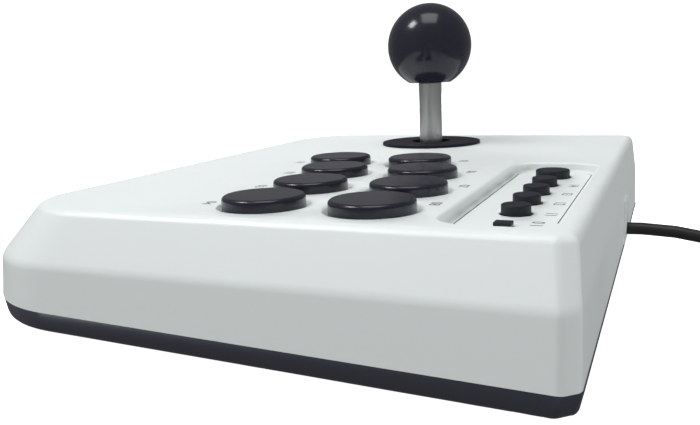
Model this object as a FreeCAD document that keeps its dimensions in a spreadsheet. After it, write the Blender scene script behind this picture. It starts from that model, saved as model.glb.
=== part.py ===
"""Compact ball-top arcade stick, in millimetres.

The frame stands on the floor: +X to the player's right, +Y to the back, +Z up. The deck slopes down
towards the player, so what sits on it is measured square to the deck from its upper face.
"""
import FreeCAD, Part
import math
import os
import Sketcher

doc = FreeCAD.newDocument("arcade_stick")
dims = doc.addObject("Spreadsheet::Sheet", "dims")

SIZES = [
    # Case
    ("body_length", 218.2, "case length at the seam"),
    ("body_depth", 170.2, "case depth at the seam"),
    ("foot_drop", 1.5, "floor to the underside of the base"),
    ("base_height", 6.1, "underside of the base to the seam"),
    ("top_height", 35.6, "floor to the deck at mid depth"),
    ("top_tilt", 1.84, "slope of the deck in degrees"),
    ("crease_drop", 14.0, "deck to the crease round the case"),
    ("end_lower_inset", 0.6, "how far the lower wall leans in at the ends"),
    ("front_lower_inset", 1.6, "how far the lower wall leans in at the front"),
    ("end_inset", 6.5, "how far the deck's edge stands in at the ends"),
    ("front_inset", 16.0, "how far the deck's edge stands in at the front"),
    ("back_lower_inset", 0.8, "how far the lower wall leans in at the back"),
    ("back_inset", 2.8, "how far the deck's edge stands in at the back"),
    ("base_inset", 1.2, "how far the base leans in at its underside"),
    ("corner_seam", 34.0, "front corner radius at the seam"),
    ("corner_crease", 33.0, "front corner radius at the crease"),
    ("corner_deck", 25.0, "front corner radius at the deck"),
    ("corner_chamfer", 3.6, "back corner chamfer"),
    ("deck_fillet", 3.0, "round along the deck's edge"),
    ("crease_blend", 1.3, "how far the soft crease runs up and down the wall"),
    ("upright_fillet", 3.0, "round along the back corners"),
    ("base_fillet", 2.4, "round along the base's lower edge"),
    ("wall", 2.4, "case wall"),
    ("deck_wall", 2.5, "deck thickness"),
    ("tongue_gap", 0.7, "case wall to the base's tongue"),
    ("tongue_wall", 1.2, "thickness of the base's tongue"),
    ("tongue_height", 2.0, "tongue above the seam"),
    ("floor_wall", 2.2, "base floor"),
    # Case screws and feet
    ("post_seat", 12.0, "floor to where the case posts meet"),
    ("post_radius", 3.6, "case post"),
    ("post_pilot", 1.25, "screw hole in a case post"),
    ("post_side_in", 19.1, "ends of the case to the front side posts"),
    ("post_front_in", 37.1, "front of the case to the front side posts"),
    ("post_nose_in", 23.1, "front of the case to the front middle post"),
    ("post_left_in", 15.1, "left end of the case to the back left post"),
    ("post_left_back", 19.1, "back of the case to the back left post"),
    ("post_mid_off", 27.0, "cable to the back middle post"),
    ("post_mid_back", 12.1, "back of the case to the back middle post"),
    ("post_right_in", 11.1, "right end of the case to the back right post"),
    ("post_right_back", 40.1, "back of the case to the back right post"),
    ("screw_radius", 1.2, "case screw shank"),
    ("screw_head_radius", 2.8, "case screw head"),
    ("screw_head_height", 1.8, "case screw head"),
    ("screw_length", 14.0, "case screw shank"),
    ("head_bore_radius", 3.2, "bore for a case screw's head"),
    ("head_bore_depth", 4.0, "bore for a case screw's head"),
    ("fit_gap", 0.3, "running gap between pieces that move"),
    ("foot_radius", 8.0, "rubber foot"),
    ("foot_sink", 0.6, "how deep a foot sits in the base"),
    ("foot_gap", 0.15, "foot to its recess"),
    ("foot_end_in", 27.1, "ends of the case to the feet"),
    ("foot_front_in", 27.1, "front of the case to the front feet"),
    ("foot_back_in", 19.1, "back of the case to the back feet"),
    # Push buttons
    ("column_1_in", 92.1, "bay's right end to the first column of push buttons"),
    ("column_2_in", 66.7, "bay's right end to the second column of push buttons"),
    ("column_3_in", 39.0, "bay's right end to the third column of push buttons"),
    ("column_4_in", 11.5, "bay's right end to the fourth column of push buttons"),
    ("front_1_in", 61.1, "bay to the front button of the first column"),
    ("front_2_in", 52.1, "bay to the front button of the second column"),
    ("front_3_in", 47.3, "bay to the front button of the third column"),
    ("front_4_in", 47.2, "bay to the front button of the fourth column"),
    ("row_pitch", 29.7, "front row to back row"),
    ("button_radius", 10.76, "push-button cap"),
    ("button_rise", 2.87, "cap above the deck"),
    ("button_round", 1.1, "round on the cap's edge"),
    ("button_wall", 1.6, "cap wall"),
    ("ring_radius", 12.33, "sunk ring round a cap"),
    ("ring_depth", 1.9, "sunk ring round a cap"),
    ("guide_wall", 1.7, "guide tube under the deck"),
    ("guide_depth", 9.0, "deck to the end of a guide tube"),
    ("flange_radius", 12.4, "collar that keeps a cap in its guide"),
    ("flange_height", 1.4, "collar that keeps a cap in its guide"),
    ("stem_radius", 3.0, "stem under a cap"),
    ("stem_depth", 12.5, "deck to the end of a stem"),
    ("board_depth", 17.0, "deck to the main board"),
    ("board_thickness", 1.6, "circuit boards"),
    ("board_left_in", 17.1, "first column to the main board's left edge"),
    ("board_right_in", 8.8, "fourth column to the main board's right edge"),
    ("board_front_in", 15.2, "first front button to the main board's front edge"),
    ("board_back_in", 13.2, "last back button to the main board's back edge"),
    ("board_corner", 3.0, "main board corner radius"),
    ("mat_thickness", 1.0, "silicone sheet under the buttons"),
    ("mat_margin", 1.5, "board edge to the silicone sheet"),
    ("dome_foot", 6.5, "foot of a silicone dome"),
    ("dome_head", 4.0, "head of a silicone dome"),
    ("dome_wall", 0.9, "silicone dome"),
    ("boss_radius", 3.0, "board boss"),
    ("boss_pilot", 1.0, "screw hole in a board boss"),
    ("board_screw_radius", 0.95, "board screw shank"),
    ("board_screw_head", 2.2, "board screw head radius"),
    ("board_screw_head_height", 1.5, "board screw head"),
    ("board_screw_length", 7.0, "board screw shank"),
    ("boss_left_in", 5.0, "main board's left edge to its bosses"),
    ("boss_right_in", 4.0, "main board's right edge to its front boss"),
    ("boss_mid_in", 22.5, "main board's right edge to its back boss"),
    ("boss_front_in", 5.0, "main board's front edge to its bosses"),
    ("boss_back_in", 4.5, "main board's back edge to its bosses"),
    # Control panel
    ("bay_length", 101.8, "panel bay at the deck"),
    ("bay_end", 12.9, "right end of the case to the panel bay"),
    ("bay_width", 27.0, "panel bay at the deck"),
    ("bay_gap", 7.8, "back of the case to the panel bay"),
    ("bay_depth", 3.0, "panel bay"),
    ("bay_lean", 0.8, "how far the bay's wall leans in at its floor"),
    ("bay_corner", 8.0, "bay corner radius at the deck"),
    ("bay_floor_wall", 3.6, "bay floor"),
    ("bay_edge_fillet", 0.9, "round along the bay's upper edge"),
    ("bay_floor_fillet", 1.1, "round at the foot of the bay's wall"),
    ("panel_thickness", 1.5, "panel plate"),
    ("panel_gap", 0.25, "panel plate to the bay floor"),
    ("panel_inset", 2.2, "bay edge at the deck to the panel plate"),
    ("window_margin", 4.0, "panel edge to the window under it"),
    ("bay_margin", 2.2, "wall round the bay"),
    ("key_inset", 13.3, "bay's back edge to the keys and switch"),
    ("key_first_in", 28.1, "bay's right end to the first key"),
    ("key_pitch", 14.77, "key to key"),
    ("key_radius", 3.65, "small key"),
    ("key_hole_gap", 0.55, "key to its hole"),
    ("key_rise", 2.54, "key above the panel"),
    ("key_round", 0.4, "round on a key's edge"),
    ("key_flange", 1.2, "collar under a key, past its radius"),
    ("key_flange_height", 1.0, "collar under a key"),
    ("key_stem_depth", 5.6, "panel face to the end of a key's stem"),
    ("key_stem_radius", 1.8, "stem under a key"),
    ("home_inset", 12.95, "bay's left end to the home key"),
    ("home_radius", 5.22, "home key"),
    ("panel_board_depth", 8.6, "panel face to the panel board"),
    ("panel_board_margin", 1.5, "bay wall to the panel board"),
    ("strip_thickness", 0.8, "silicone strip under the keys"),
    ("strip_half_width", 6.5, "silicone strip under the keys"),
    ("strip_end", 6.0, "end key to the end of the strip"),
    ("key_dome_foot", 4.2, "foot of a key's dome"),
    ("key_dome_head", 2.4, "head of a key's dome"),
    ("key_dome_wall", 0.6, "key's dome"),
    ("panel_boss_inset", 3.0, "window end to the panel board's bosses"),
    ("panel_screw_length", 5.0, "panel board screw shank"),
    ("panel_boss_radius", 2.4, "panel board boss"),
    ("knob_inset", 13.0, "bay's right end to the slide-switch knob"),
    ("knob_length", 3.3, "knob, along its travel"),
    ("knob_width", 4.1, "knob, across its travel"),
    ("knob_rise", 1.2, "knob above the panel"),
    ("knob_travel", 2.0, "travel of the knob"),
    ("knob_stem_length", 1.6, "knob stem, along its travel"),
    ("knob_stem_width", 3.0, "knob stem, across its travel"),
    ("switch_body_length", 8.0, "slide-switch body, along its travel"),
    ("switch_body_width", 7.0, "slide-switch body"),
    # Lever
    ("lever_end", 46.3, "left end of the case to the lever"),
    ("lever_gap", 47.8, "bay to the lever"),
    ("pivot_depth", 13.0, "deck to the lever's pivot"),
    ("ball_radius", 17.5, "ball top"),
    ("ball_height", 41.2, "deck to the ball's centre"),
    ("ball_flat", 15.2, "ball's centre to the flat under it"),
    ("ball_bore_depth", 14.0, "threaded bore in the ball"),
    ("shaft_radius", 4.83, "lever shaft"),
    ("hub_radius", 6.8, "hub at the pivot"),
    ("hub_half", 4.0, "hub above and below the pivot"),
    ("stud_radius", 2.9, "threaded stud in the ball"),
    ("stud_length", 13.0, "threaded stud in the ball"),
    ("neck_radius", 4.2, "shaft between the hub and the actuator"),
    ("tip_radius", 3.0, "shaft below the neck"),
    ("tip_drop", 2.4, "actuator to the shaft's lower end"),
    ("pin_radius", 1.6, "pivot pins"),
    ("pin_gap", 0.06, "pivot pin to its hole"),
    ("pin_end_gap", 0.4, "pivot pin's end to the bottom of its hole"),
    ("pin_grip", 2.8, "how far a pivot pin runs into its wall"),
    ("gimbal_inner", 9.4, "gimbal ring, inner radius"),
    ("gimbal_outer", 13.2, "gimbal ring, outer radius"),
    ("gimbal_half", 3.0, "gimbal ring above and below the pivot"),
    ("washer_radius", 20.8, "dust washer"),
    ("washer_thickness", 1.2, "dust washer"),
    ("washer_hole", 8.2, "dust washer's hole"),
    ("deck_hole", 9.4, "hole in the deck for the lever"),
    ("housing_half", 21.5, "half the lever housing's width"),
    ("housing_room", 17.0, "half the room in the housing"),
    ("housing_top", 5.5, "deck to the housing"),
    ("housing_stand", 11.9, "base floor to the housing's lower rim"),
    ("housing_plate", 2.0, "housing's upper plate"),
    ("lever_screw_offset", 19.2, "lever to its screws"),
    ("lever_screw_radius", 1.3, "lever screw shank"),
    ("lever_screw_hole", 1.5, "holes for the lever screws"),
    ("lever_screw_head", 2.1, "lever screw head radius"),
    ("lever_screw_head_height", 1.4, "lever screw head"),
    ("lever_boss_radius", 2.9, "bosses for the lever screws"),
    ("grommet_thickness", 3.0, "centring grommet"),
    ("grommet_hole", 9.0, "hole in the housing for the centring grommet"),
    ("grommet_flange", 11.0, "centring grommet's flange"),
    ("grommet_flange_height", 1.2, "centring grommet's flange"),
    ("grommet_gap", 0.1, "centring grommet to what it fills"),
    ("neck_gap", 0.2, "centring grommet's neck to the dust washer"),
    ("neck_drop", 0.2, "dust washer's face to the top of the neck"),
    ("actuator_radius", 6.0, "actuator collar"),
    ("actuator_gap", 0.05, "actuator to the shaft"),
    ("actuator_drop", 1.9, "housing's lower rim to the actuator"),
    ("actuator_height", 5.1, "actuator collar"),
    ("micro_length", 12.8, "microswitch"),
    ("micro_width", 5.8, "microswitch"),
    ("micro_height", 6.4, "microswitch"),
    ("micro_reach", 9.0, "lever to the face of a microswitch"),
    ("blade_thickness", 0.4, "microswitch blade"),
    ("blade_gap", 0.4, "actuator to the blades"),
    ("blade_width", 3.2, "microswitch blade"),
    ("blade_length", 10.0, "microswitch blade"),
    ("gate_thickness", 1.5, "gate plate"),
    ("gate_half", 5.9, "half the gate's square opening"),
    ("gate_leg", 2.2, "gate plate's legs"),
    ("plate_corner", 2.0, "corner radius of small plates"),
    ("lever_screw_tip", 2.8, "deck to the end of a lever screw"),
    ("board_hole", 10.5, "hole in the switch board"),
    # Cable
    ("cable_radius", 2.15, "USB cable"),
    ("cable_x", -31.0, "cable exit"),
    ("cable_height", 11.2, "cable exit above the floor"),
    ("pad_half", 8.0, "half the raised pad round the cable"),
    ("pad_height", 22.4, "top of the pad above the floor"),
    ("pad_proud", 1.5, "how far the pad stands out from the back of the case"),
    ("pad_back", 4.1, "back of the case to the flat inside the pad"),
    ("pad_fillet", 0.5, "round on the pad's edges"),
    ("cable_hole_gap", 0.15, "cable to its hole"),
    ("slot_rise", 3.4, "top of the cable to the top of its slot"),
    ("grommet_radius", 3.5, "cable grommet's flange"),
    ("grommet_length", 8.0, "cable grommet behind the wall"),
    ("coil_x", 2.1, "coil centre"),
    ("coil_gap", 66.9, "back of the case to the coil's centre"),
    ("coil_outer", 35.3, "coil, outer radius"),
    ("coil_inner", 14.6, "coil, inner radius"),
    ("coil_height", 21.6, "coil"),
    ("tie_thickness", 0.8, "tie band"),
    ("tie_width", 12.0, "tie band"),
    ("route_start", 8.6, "how far the cable starts inside the pad's face"),
    ("route_bend", 18.4, "pad's face to where the cable starts to fall"),
    ("route_fall", 26.0, "how far out the cable takes to reach the floor"),
    ("route_end", 18.0, "last run into the coil"),
    ("tail_radius", 26.0, "turn of the cable's end on the coil"),
    ("tail_lead", 6.4, "coil centre to the first and last run's ends"),
    ("tail_sink", 1.7, "how deep the cable's end starts in the coil"),
    ("tail_step", 1.9, "rise of the cable's end per run"),
    ("cord_share", 0.45, "share of a run that goes into a bend"),
    ("plug_width", 15.6, "plug's moulded body"),
    ("plug_height", 8.0, "plug's moulded body"),
    ("plug_length", 20.0, "plug's moulded body"),
    ("plug_fillet", 1.6, "round on the plug's edges"),
    ("relief_length", 7.0, "plug's strain relief"),
    ("relief_radius", 3.3, "plug's strain relief"),
    ("contact_width", 12.0, "plug's metal shell"),
    ("contact_height", 4.5, "plug's metal shell"),
    ("contact_length", 12.0, "plug's metal shell"),
    ("contact_wall", 0.4, "plug's metal shell"),
    ("tongue_width", 11.0, "plug's contact tongue"),
    ("tongue_thickness", 1.9, "plug's contact tongue"),
    ("tongue_reach", 11.2, "plug's contact tongue"),
]

# Places that follow from the sizes, along the case and across it from its middle, or down from the deck
PLACES = [
    ("half_length", "body_length / 2", "case"),
    ("half_depth", "body_depth / 2", "case"),
    ("post_side_x", "half_length - post_side_in", "front side posts"),
    ("post_front_y", "post_front_in - half_depth", "front side posts"),
    ("post_nose_y", "post_nose_in - half_depth", "front middle post"),
    ("post_left_x", "post_left_in - half_length", "back left post"),
    ("post_left_y", "half_depth - post_left_back", "back left post"),
    ("post_mid_x", "cable_x - post_mid_off", "back middle post"),
    ("post_mid_y", "half_depth - post_mid_back", "back middle post"),
    ("post_right_x", "half_length - post_right_in", "back right post"),
    ("post_right_y", "half_depth - post_right_back", "back right post"),
    ("foot_x", "half_length - foot_end_in", "feet"),
    ("foot_front_y", "foot_front_in - half_depth", "front feet"),
    ("foot_back_y", "half_depth - foot_back_in", "back feet"),
    ("bay_right", "half_length - bay_end", "panel bay"),
    ("bay_left", "bay_right - bay_length", "panel bay"),
    ("bay_back", "half_depth - bay_gap", "panel bay"),
    ("bay_front", "bay_back - bay_width", "panel bay"),
    ("key_line", "bay_back - key_inset", "keys and switch"),
    ("key_first", "bay_right - key_first_in", "first key"),
    ("home_x", "bay_left + home_inset", "home key"),
    ("knob_x", "bay_right - knob_inset", "slide-switch knob"),
    ("column_1", "bay_right - column_1_in", "first column of push buttons"),
    ("column_2", "bay_right - column_2_in", "second column"),
    ("column_3", "bay_right - column_3_in", "third column"),
    ("column_4", "bay_right - column_4_in", "fourth column"),
    ("front_1", "bay_front - front_1_in", "front button of the first column"),
    ("front_2", "bay_front - front_2_in", "front button of the second column"),
    ("front_3", "bay_front - front_3_in", "front button of the third column"),
    ("front_4", "bay_front - front_4_in", "front button of the fourth column"),
    ("board_left", "column_1 - board_left_in", "main board"),
    ("board_right", "column_4 + board_right_in", "main board"),
    ("board_front", "front_1 - board_front_in", "main board"),
    ("board_back", "front_4 + row_pitch + board_back_in", "main board"),
    ("board_post_left", "board_left + boss_left_in", "left board bosses"),
    ("board_post_right", "board_right - boss_right_in", "front right board boss"),
    ("board_post_mid", "board_right - boss_mid_in", "back right board boss"),
    ("board_post_front", "board_front + boss_front_in", "front board bosses"),
    ("board_post_back", "board_back - boss_back_in", "back board bosses"),
    ("lever_x", "lever_end - half_length", "lever"),
    ("lever_y", "bay_front - lever_gap", "lever"),
    ("housing_bottom", "top_height - foot_drop - floor_wall - housing_stand", "lever housing's lower rim"),
    ("actuator_top", "housing_bottom + actuator_drop", "actuator collar"),
    ("actuator_bottom", "actuator_top + actuator_height", "actuator collar"),
    ("tip_depth", "actuator_bottom + tip_drop", "shaft's lower end"),
    ("pad_face", "half_depth + pad_proud", "face of the pad round the cable"),
    ("coil_y", "half_depth + coil_gap", "coil centre"),
]

rows = [(alias, str(value), note) for alias, value, note in SIZES]
rows += [(alias, "=" + rule, note) for alias, rule, note in PLACES]
for row, (alias, value, note) in enumerate(rows, 1):
    dims.set(f"A{row}", note)
    dims.set(f"B{row}", value)
    dims.setAlias(f"B{row}", alias)
doc.recompute()

nodes = []
PAST = "1"  # how far a cutting tool runs past a face


def size(expression):
    """The number that an expression on the sheet gives."""
    return float(dims.evalExpression(expression.replace("dims.", "")))


def node(piece, label):
    """Name a finished piece and put it on the list to write."""
    piece.Label = label
    nodes.append(piece)
    return piece


def seat(piece, x="0", y="0", z="0", deck=True):
    """Place a piece in the case, or square to the sloping deck with z from the deck's upper face."""
    if deck:
        piece.Placement = FreeCAD.Placement(FreeCAD.Vector(), FreeCAD.Rotation(FreeCAD.Vector(1, 0, 0), 1))
        piece.setExpression(".Placement.Rotation.Angle", "dims.top_tilt")
        y, z = (f"({y}) * cos(dims.top_tilt) - ({z}) * sin(dims.top_tilt)",
                f"dims.top_height + ({y}) * sin(dims.top_tilt) + ({z}) * cos(dims.top_tilt)")
    piece.setExpression(".Placement.Base.x", x)
    piece.setExpression(".Placement.Base.y", y)
    piece.setExpression(".Placement.Base.z", z)
    return piece


def cylinder(name, radius, low, high, x="0", y="0", deck=True):
    """An upright cylinder from low to high."""
    piece = doc.addObject("Part::Cylinder", name)
    piece.setExpression("Radius", radius)
    piece.setExpression("Height", f"({high}) - ({low})")
    return seat(piece, x, y, low, deck)


def cone(name, low_radius, high_radius, low, high, x="0", y="0"):
    """An upright cone on the deck from low to high."""
    piece = doc.addObject("Part::Cone", name)
    piece.setExpression("Radius1", low_radius)
    piece.setExpression("Radius2", high_radius)
    piece.setExpression("Height", f"({high}) - ({low})")
    return seat(piece, x, y, low)


def block(name, x_span, y_span, z_span, deck=True):
    """A box between pairs of bounds."""
    piece = doc.addObject("Part::Box", name)
    for side, (low, high) in zip(("Length", "Width", "Height"), (x_span, y_span, z_span)):
        piece.setExpression(side, f"({high}) - ({low})")
    return seat(piece, x_span[0], y_span[0], z_span[0], deck)


def fuse(name, pieces):
    """Several shapes as one solid."""
    piece = doc.addObject("Part::MultiFuse", name)
    piece.Shapes = pieces
    return piece


def cut(name, base, tools):
    """A shape less others."""
    piece = doc.addObject("Part::Cut", name)
    piece.Base = base
    piece.Tool = tools[0] if len(tools) == 1 else fuse(name + "_tools", tools)
    return piece


def group(name, pieces):
    """Like pieces that share one node as separate solids."""
    piece = doc.addObject("Part::Compound", name)
    piece.Links = pieces
    return piece


def bind(sketch, kind, element, point, expression):
    """Hold a sketch point at a distance from the origin, taken from the sheet."""
    index = sketch.addConstraint(Sketcher.Constraint(kind, -1, 1, element, point, size(expression)))
    sketch.setExpression(f"Constraints[{index}]", expression)


def bind_radius(sketch, element, expression):
    """Hold the radius of a sketched arc."""
    index = sketch.addConstraint(Sketcher.Constraint("Radius", element, size(expression)))
    sketch.setExpression(f"Constraints[{index}]", expression)


def new_sketch(body, name, role, height="0", tilted=False):
    """A sketch on one of the body's own planes, raised and, for the case, sloped with the deck."""
    sketch = body.newObject("Sketcher::SketchObject", name)
    plane = [item for item in body.Origin.OriginFeatures if item.Role == role][0]
    sketch.AttachmentSupport = [(plane, "")]
    sketch.MapMode = "FlatFace"
    if tilted:
        turn = FreeCAD.Rotation(FreeCAD.Vector(1, 0, 0), 1)
        sketch.AttachmentOffset = FreeCAD.Placement(FreeCAD.Vector(), turn)
        sketch.setExpression(".AttachmentOffset.Rotation.Angle", "dims.top_tilt")
    sketch.setExpression(".AttachmentOffset.Base.z", height)
    return sketch


def draw_polygon(sketch, points):
    """A closed outline through points given by expressions."""
    corners = [FreeCAD.Vector(size(x), size(y), 0) for x, y in points]
    count = len(points)
    for i in range(count):
        sketch.addGeometry(Part.LineSegment(corners[i], corners[(i + 1) % count]), False)
    for i in range(count):
        sketch.addConstraint(Sketcher.Constraint("Coincident", i, 2, (i + 1) % count, 1))
    for i, (x, y) in enumerate(points):
        bind(sketch, "DistanceX", i, 1, x)
        bind(sketch, "DistanceY", i, 1, y)


def draw_corners(sketch, corners):
    """A closed outline of corner arcs, given by centre, radius, start and sweep, joined by tangent lines."""
    count = len(corners)
    arcs = []
    for x, y, radius, start, sweep in corners:
        circle = Part.Circle(FreeCAD.Vector(size(x), size(y), 0), FreeCAD.Vector(0, 0, 1), size(radius))
        arcs.append(Part.ArcOfCircle(circle, math.radians(start), math.radians(start + sweep)))
    for arc in arcs:
        sketch.addGeometry(arc, False)
    for i in range(count):
        sketch.addGeometry(Part.LineSegment(arcs[i].EndPoint, arcs[(i + 1) % count].StartPoint), False)
    for i in range(count):
        sketch.addConstraint(Sketcher.Constraint("Tangent", i, 2, count + i, 1))
        sketch.addConstraint(Sketcher.Constraint("Tangent", count + i, 2, (i + 1) % count, 1))
    for i, (x, y, radius, start, sweep) in enumerate(corners):
        bind(sketch, "DistanceX", i, 3, x)
        bind(sketch, "DistanceY", i, 3, y)
        bind_radius(sketch, i, radius)


def draw_rounded(sketch, x_span, y_span, radius):
    """A rectangle with equal rounded corners."""
    x0, x1 = f"({x_span[0]}) + {radius}", f"({x_span[1]}) - ({radius})"
    y0, y1 = f"({y_span[0]}) + {radius}", f"({y_span[1]}) - ({radius})"
    draw_corners(sketch, [(x1, y0, radius, 270, 90), (x1, y1, radius, 0, 90),
                          (x0, y1, radius, 90, 90), (x0, y0, radius, 180, 90)])


def draw_case(sketch, half_front, half_back, front, back, radius):
    """The case's outline: round corners at the front, softened chamfers at the back."""
    soft = "dims.upright_fillet"
    start = f"(dims.corner_chamfer + {soft} * tan(22.5))"
    wide, low = f"{half_front} - ({radius})", f"{front} + {radius}"
    side, side_y = f"{half_back} - {soft}", f"{back} - {start}"
    rear, rear_y = f"{half_back} - {start}", f"{back} - {soft}"
    draw_corners(sketch, [(wide, low, radius, 270, 90), (side, side_y, soft, 0, 45),
                          (rear, rear_y, soft, 45, 45),
                          (f"-({rear})", rear_y, soft, 90, 45), (f"-({side})", side_y, soft, 135, 45),
                          (f"-({wide})", low, radius, 180, 90)])


def turned(name, profile, x="0", y="0", z="0"):
    """A body turned about its own upright axis from a radius and height profile, seated on the deck."""
    body = doc.addObject("PartDesign::Body", name)
    sketch = new_sketch(body, name + "_profile", "XZ_Plane")
    draw_polygon(sketch, profile)
    turn = body.newObject("PartDesign::Revolution", name + "_turn")
    turn.Profile = sketch
    turn.ReferenceAxis = (sketch, ["V_Axis"])
    turn.Angle = 360
    return seat(body, x, y, z)


def plate(name, x_span, y_span, z_span, radius, deck=True):
    """A flat plate with rounded corners."""
    body = doc.addObject("PartDesign::Body", name)
    sketch = new_sketch(body, name + "_outline", "XY_Plane", z_span[0])
    draw_rounded(sketch, x_span, y_span, radius)
    pad = body.newObject("PartDesign::Pad", name + "_pad")
    pad.Profile = sketch
    pad.setExpression("Length", f"({z_span[1]}) - ({z_span[0]})")
    return seat(body, deck=deck)


def rounded(name, base, choose, radius):
    """A shape with a round on each edge that choose picks."""
    doc.recompute()
    piece = doc.addObject("Part::Fillet", name)
    piece.Base = base
    reach = size(radius)
    piece.Edges = [(i, reach, reach) for i, edge in enumerate(base.Shape.Edges, 1) if choose(edge)]
    return piece


def deck_height(point):
    """How far a point lies above the deck's upper face, square to it."""
    tilt = math.radians(size("dims.top_tilt"))
    return (point.z - size("dims.top_height")) * math.cos(tilt) - point.y * math.sin(tilt)


def lies_at(edge, height):
    """Whether an edge lies at a height measured from the deck."""
    return all(abs(deck_height(vertex.Point) - height) < 0.01 for vertex in edge.Vertexes)


# Case form: outlines parallel to the deck, each by its drop, its insets at the ends, front and back,
# and its front corner radius
HALF = "dims.half_length"
EDGE = "dims.half_depth"
SEAM = "(dims.foot_drop + dims.base_height)"
SKIRT = "(dims.top_height - dims.crease_drop)"
GROWTH = f"({SKIRT} / ({SKIRT} - {SEAM}))"
DECK = ("0", "dims.end_inset", "dims.front_inset", "dims.back_inset", "dims.corner_deck")
CREASE = ("dims.crease_drop", "dims.end_lower_inset", "dims.front_lower_inset", "dims.back_lower_inset",
          "dims.corner_crease")
BELOW = ("dims.top_height", f"dims.end_lower_inset * (1 - {GROWTH})",
         f"dims.front_lower_inset * (1 - {GROWTH})",
         f"dims.back_lower_inset * (1 - {GROWTH})",
         f"(dims.corner_crease + (dims.corner_seam - dims.corner_crease) * {GROWTH})")


def between(first, second, share):
    """The outline part of the way from one level to another."""
    return tuple(f"(({a}) * (1 - {share}) + ({b}) * {share})" for a, b in zip(first, second))


def soft_crease():
    """Outlines that carry the lower wall into the upper one on a parabola about the crease."""
    low = between(CREASE, BELOW, f"dims.crease_blend / {SKIRT}")
    high = between(CREASE, DECK, "dims.crease_blend / dims.crease_drop")
    steps = [f"{step} / 4" for step in range(5)]
    return [between(between(low, CREASE, t), between(CREASE, high, t), t) for t in steps]


def case_form(name, inset, levels, lid):
    """The case's outer form, or its room when inset by the wall with its lid lowered.

    It runs on below the seam, where it is cut level.
    """
    body = doc.addObject("PartDesign::Body", name)
    sketches = []
    for i, (drop, end, front, back, radius) in enumerate(levels):
        height = f"dims.top_height - {lid if i == len(levels) - 1 else drop}"
        sketch = new_sketch(body, f"{name}_outline_{i}", "XY_Plane", height, tilted=True)
        half = f"({HALF} - ({end}) - {inset})"
        draw_case(sketch, half, half, f"(-{EDGE} + {front} + {inset})", f"({EDGE} - ({back}) - {inset})",
                  f"({radius} - {inset})")
        sketches.append(sketch)
    feature = body.newObject("PartDesign::AdditiveLoft", name + "_loft")
    feature.Profile = sketches[-1]
    feature.Sections = sketches[-2::-1]
    feature.Ruled = True
    return body


shell_form = case_form("shell_form", "0", [BELOW] + soft_crease() + [DECK], "0")
shell_room = case_form("shell_room", "dims.wall", [BELOW, CREASE, DECK], "dims.deck_wall")
smooth_shell = rounded("smooth_shell", shell_form, lambda edge: lies_at(edge, 0), "dims.deck_fillet")

# Places that several pieces share
post_spots = [("-dims.post_side_x", "dims.post_front_y"), ("dims.post_side_x", "dims.post_front_y"),
              ("0", "dims.post_nose_y"), ("dims.post_left_x", "dims.post_left_y"),
              ("dims.post_mid_x", "dims.post_mid_y"), ("dims.post_right_x", "dims.post_right_y")]
foot_spots = [("-dims.foot_x", "dims.foot_front_y"), ("dims.foot_x", "dims.foot_front_y"),
              ("-dims.foot_x", "dims.foot_back_y"), ("dims.foot_x", "dims.foot_back_y")]
button_spots = [(f"dims.column_{i}", f"dims.front_{i} + dims.row_pitch * {row}")
                for row in (0, 1) for i in (1, 2, 3, 4)]
board_spots = [("dims.board_post_left", "dims.board_post_front"),
               ("dims.board_post_right", "dims.board_post_front"),
               ("dims.board_post_left", "dims.board_post_back"),
               ("dims.board_post_mid", "dims.board_post_back")]
lever_spots = [(f"dims.lever_x + {i} * dims.lever_screw_offset",
                f"dims.lever_y + {j} * dims.lever_screw_offset")
               for i in (-1, 1) for j in (-1, 1)]
key_spots = [(f"dims.key_first - {i} * dims.key_pitch", "dims.key_radius") for i in range(4)]
key_spots.append(("dims.home_x", "dims.home_radius"))
PANEL = "(-dims.bay_depth)"
PANEL_BACK = f"({PANEL} - dims.panel_thickness)"
PANEL_BOARD = f"({PANEL} - dims.panel_board_depth)"
BAY_UNDER = f"({PANEL} - dims.bay_floor_wall)"
WINDOW = "(dims.panel_inset + dims.window_margin)"
panel_spots = [(f"dims.bay_left + {WINDOW} - dims.panel_boss_inset", "dims.key_line"),
               (f"dims.bay_right - {WINDOW} + dims.panel_boss_inset", "dims.key_line")]
BOARD_UNDER = "(-dims.board_depth - dims.board_thickness)"
BORE = "(dims.button_radius + dims.fit_gap)"


def bay_spans(inset):
    """The bay's spans in x and y, inset from its edge at the deck."""
    return ((f"dims.bay_left + ({inset})", f"dims.bay_right - ({inset})"),
            (f"dims.bay_front + ({inset})", f"dims.bay_back - ({inset})"))


def at_each(name, spots, make):
    """The same shape made at each of several places."""
    return [make(f"{name}_{i}", x, y) for i, (x, y) in enumerate(spots, 1)]


def lever_square(name, half, low, high):
    """A square block about the lever."""
    return block(name, (f"dims.lever_x - {half}", f"dims.lever_x + {half}"),
                 (f"dims.lever_y - {half}", f"dims.lever_y + {half}"), (low, high))


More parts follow.
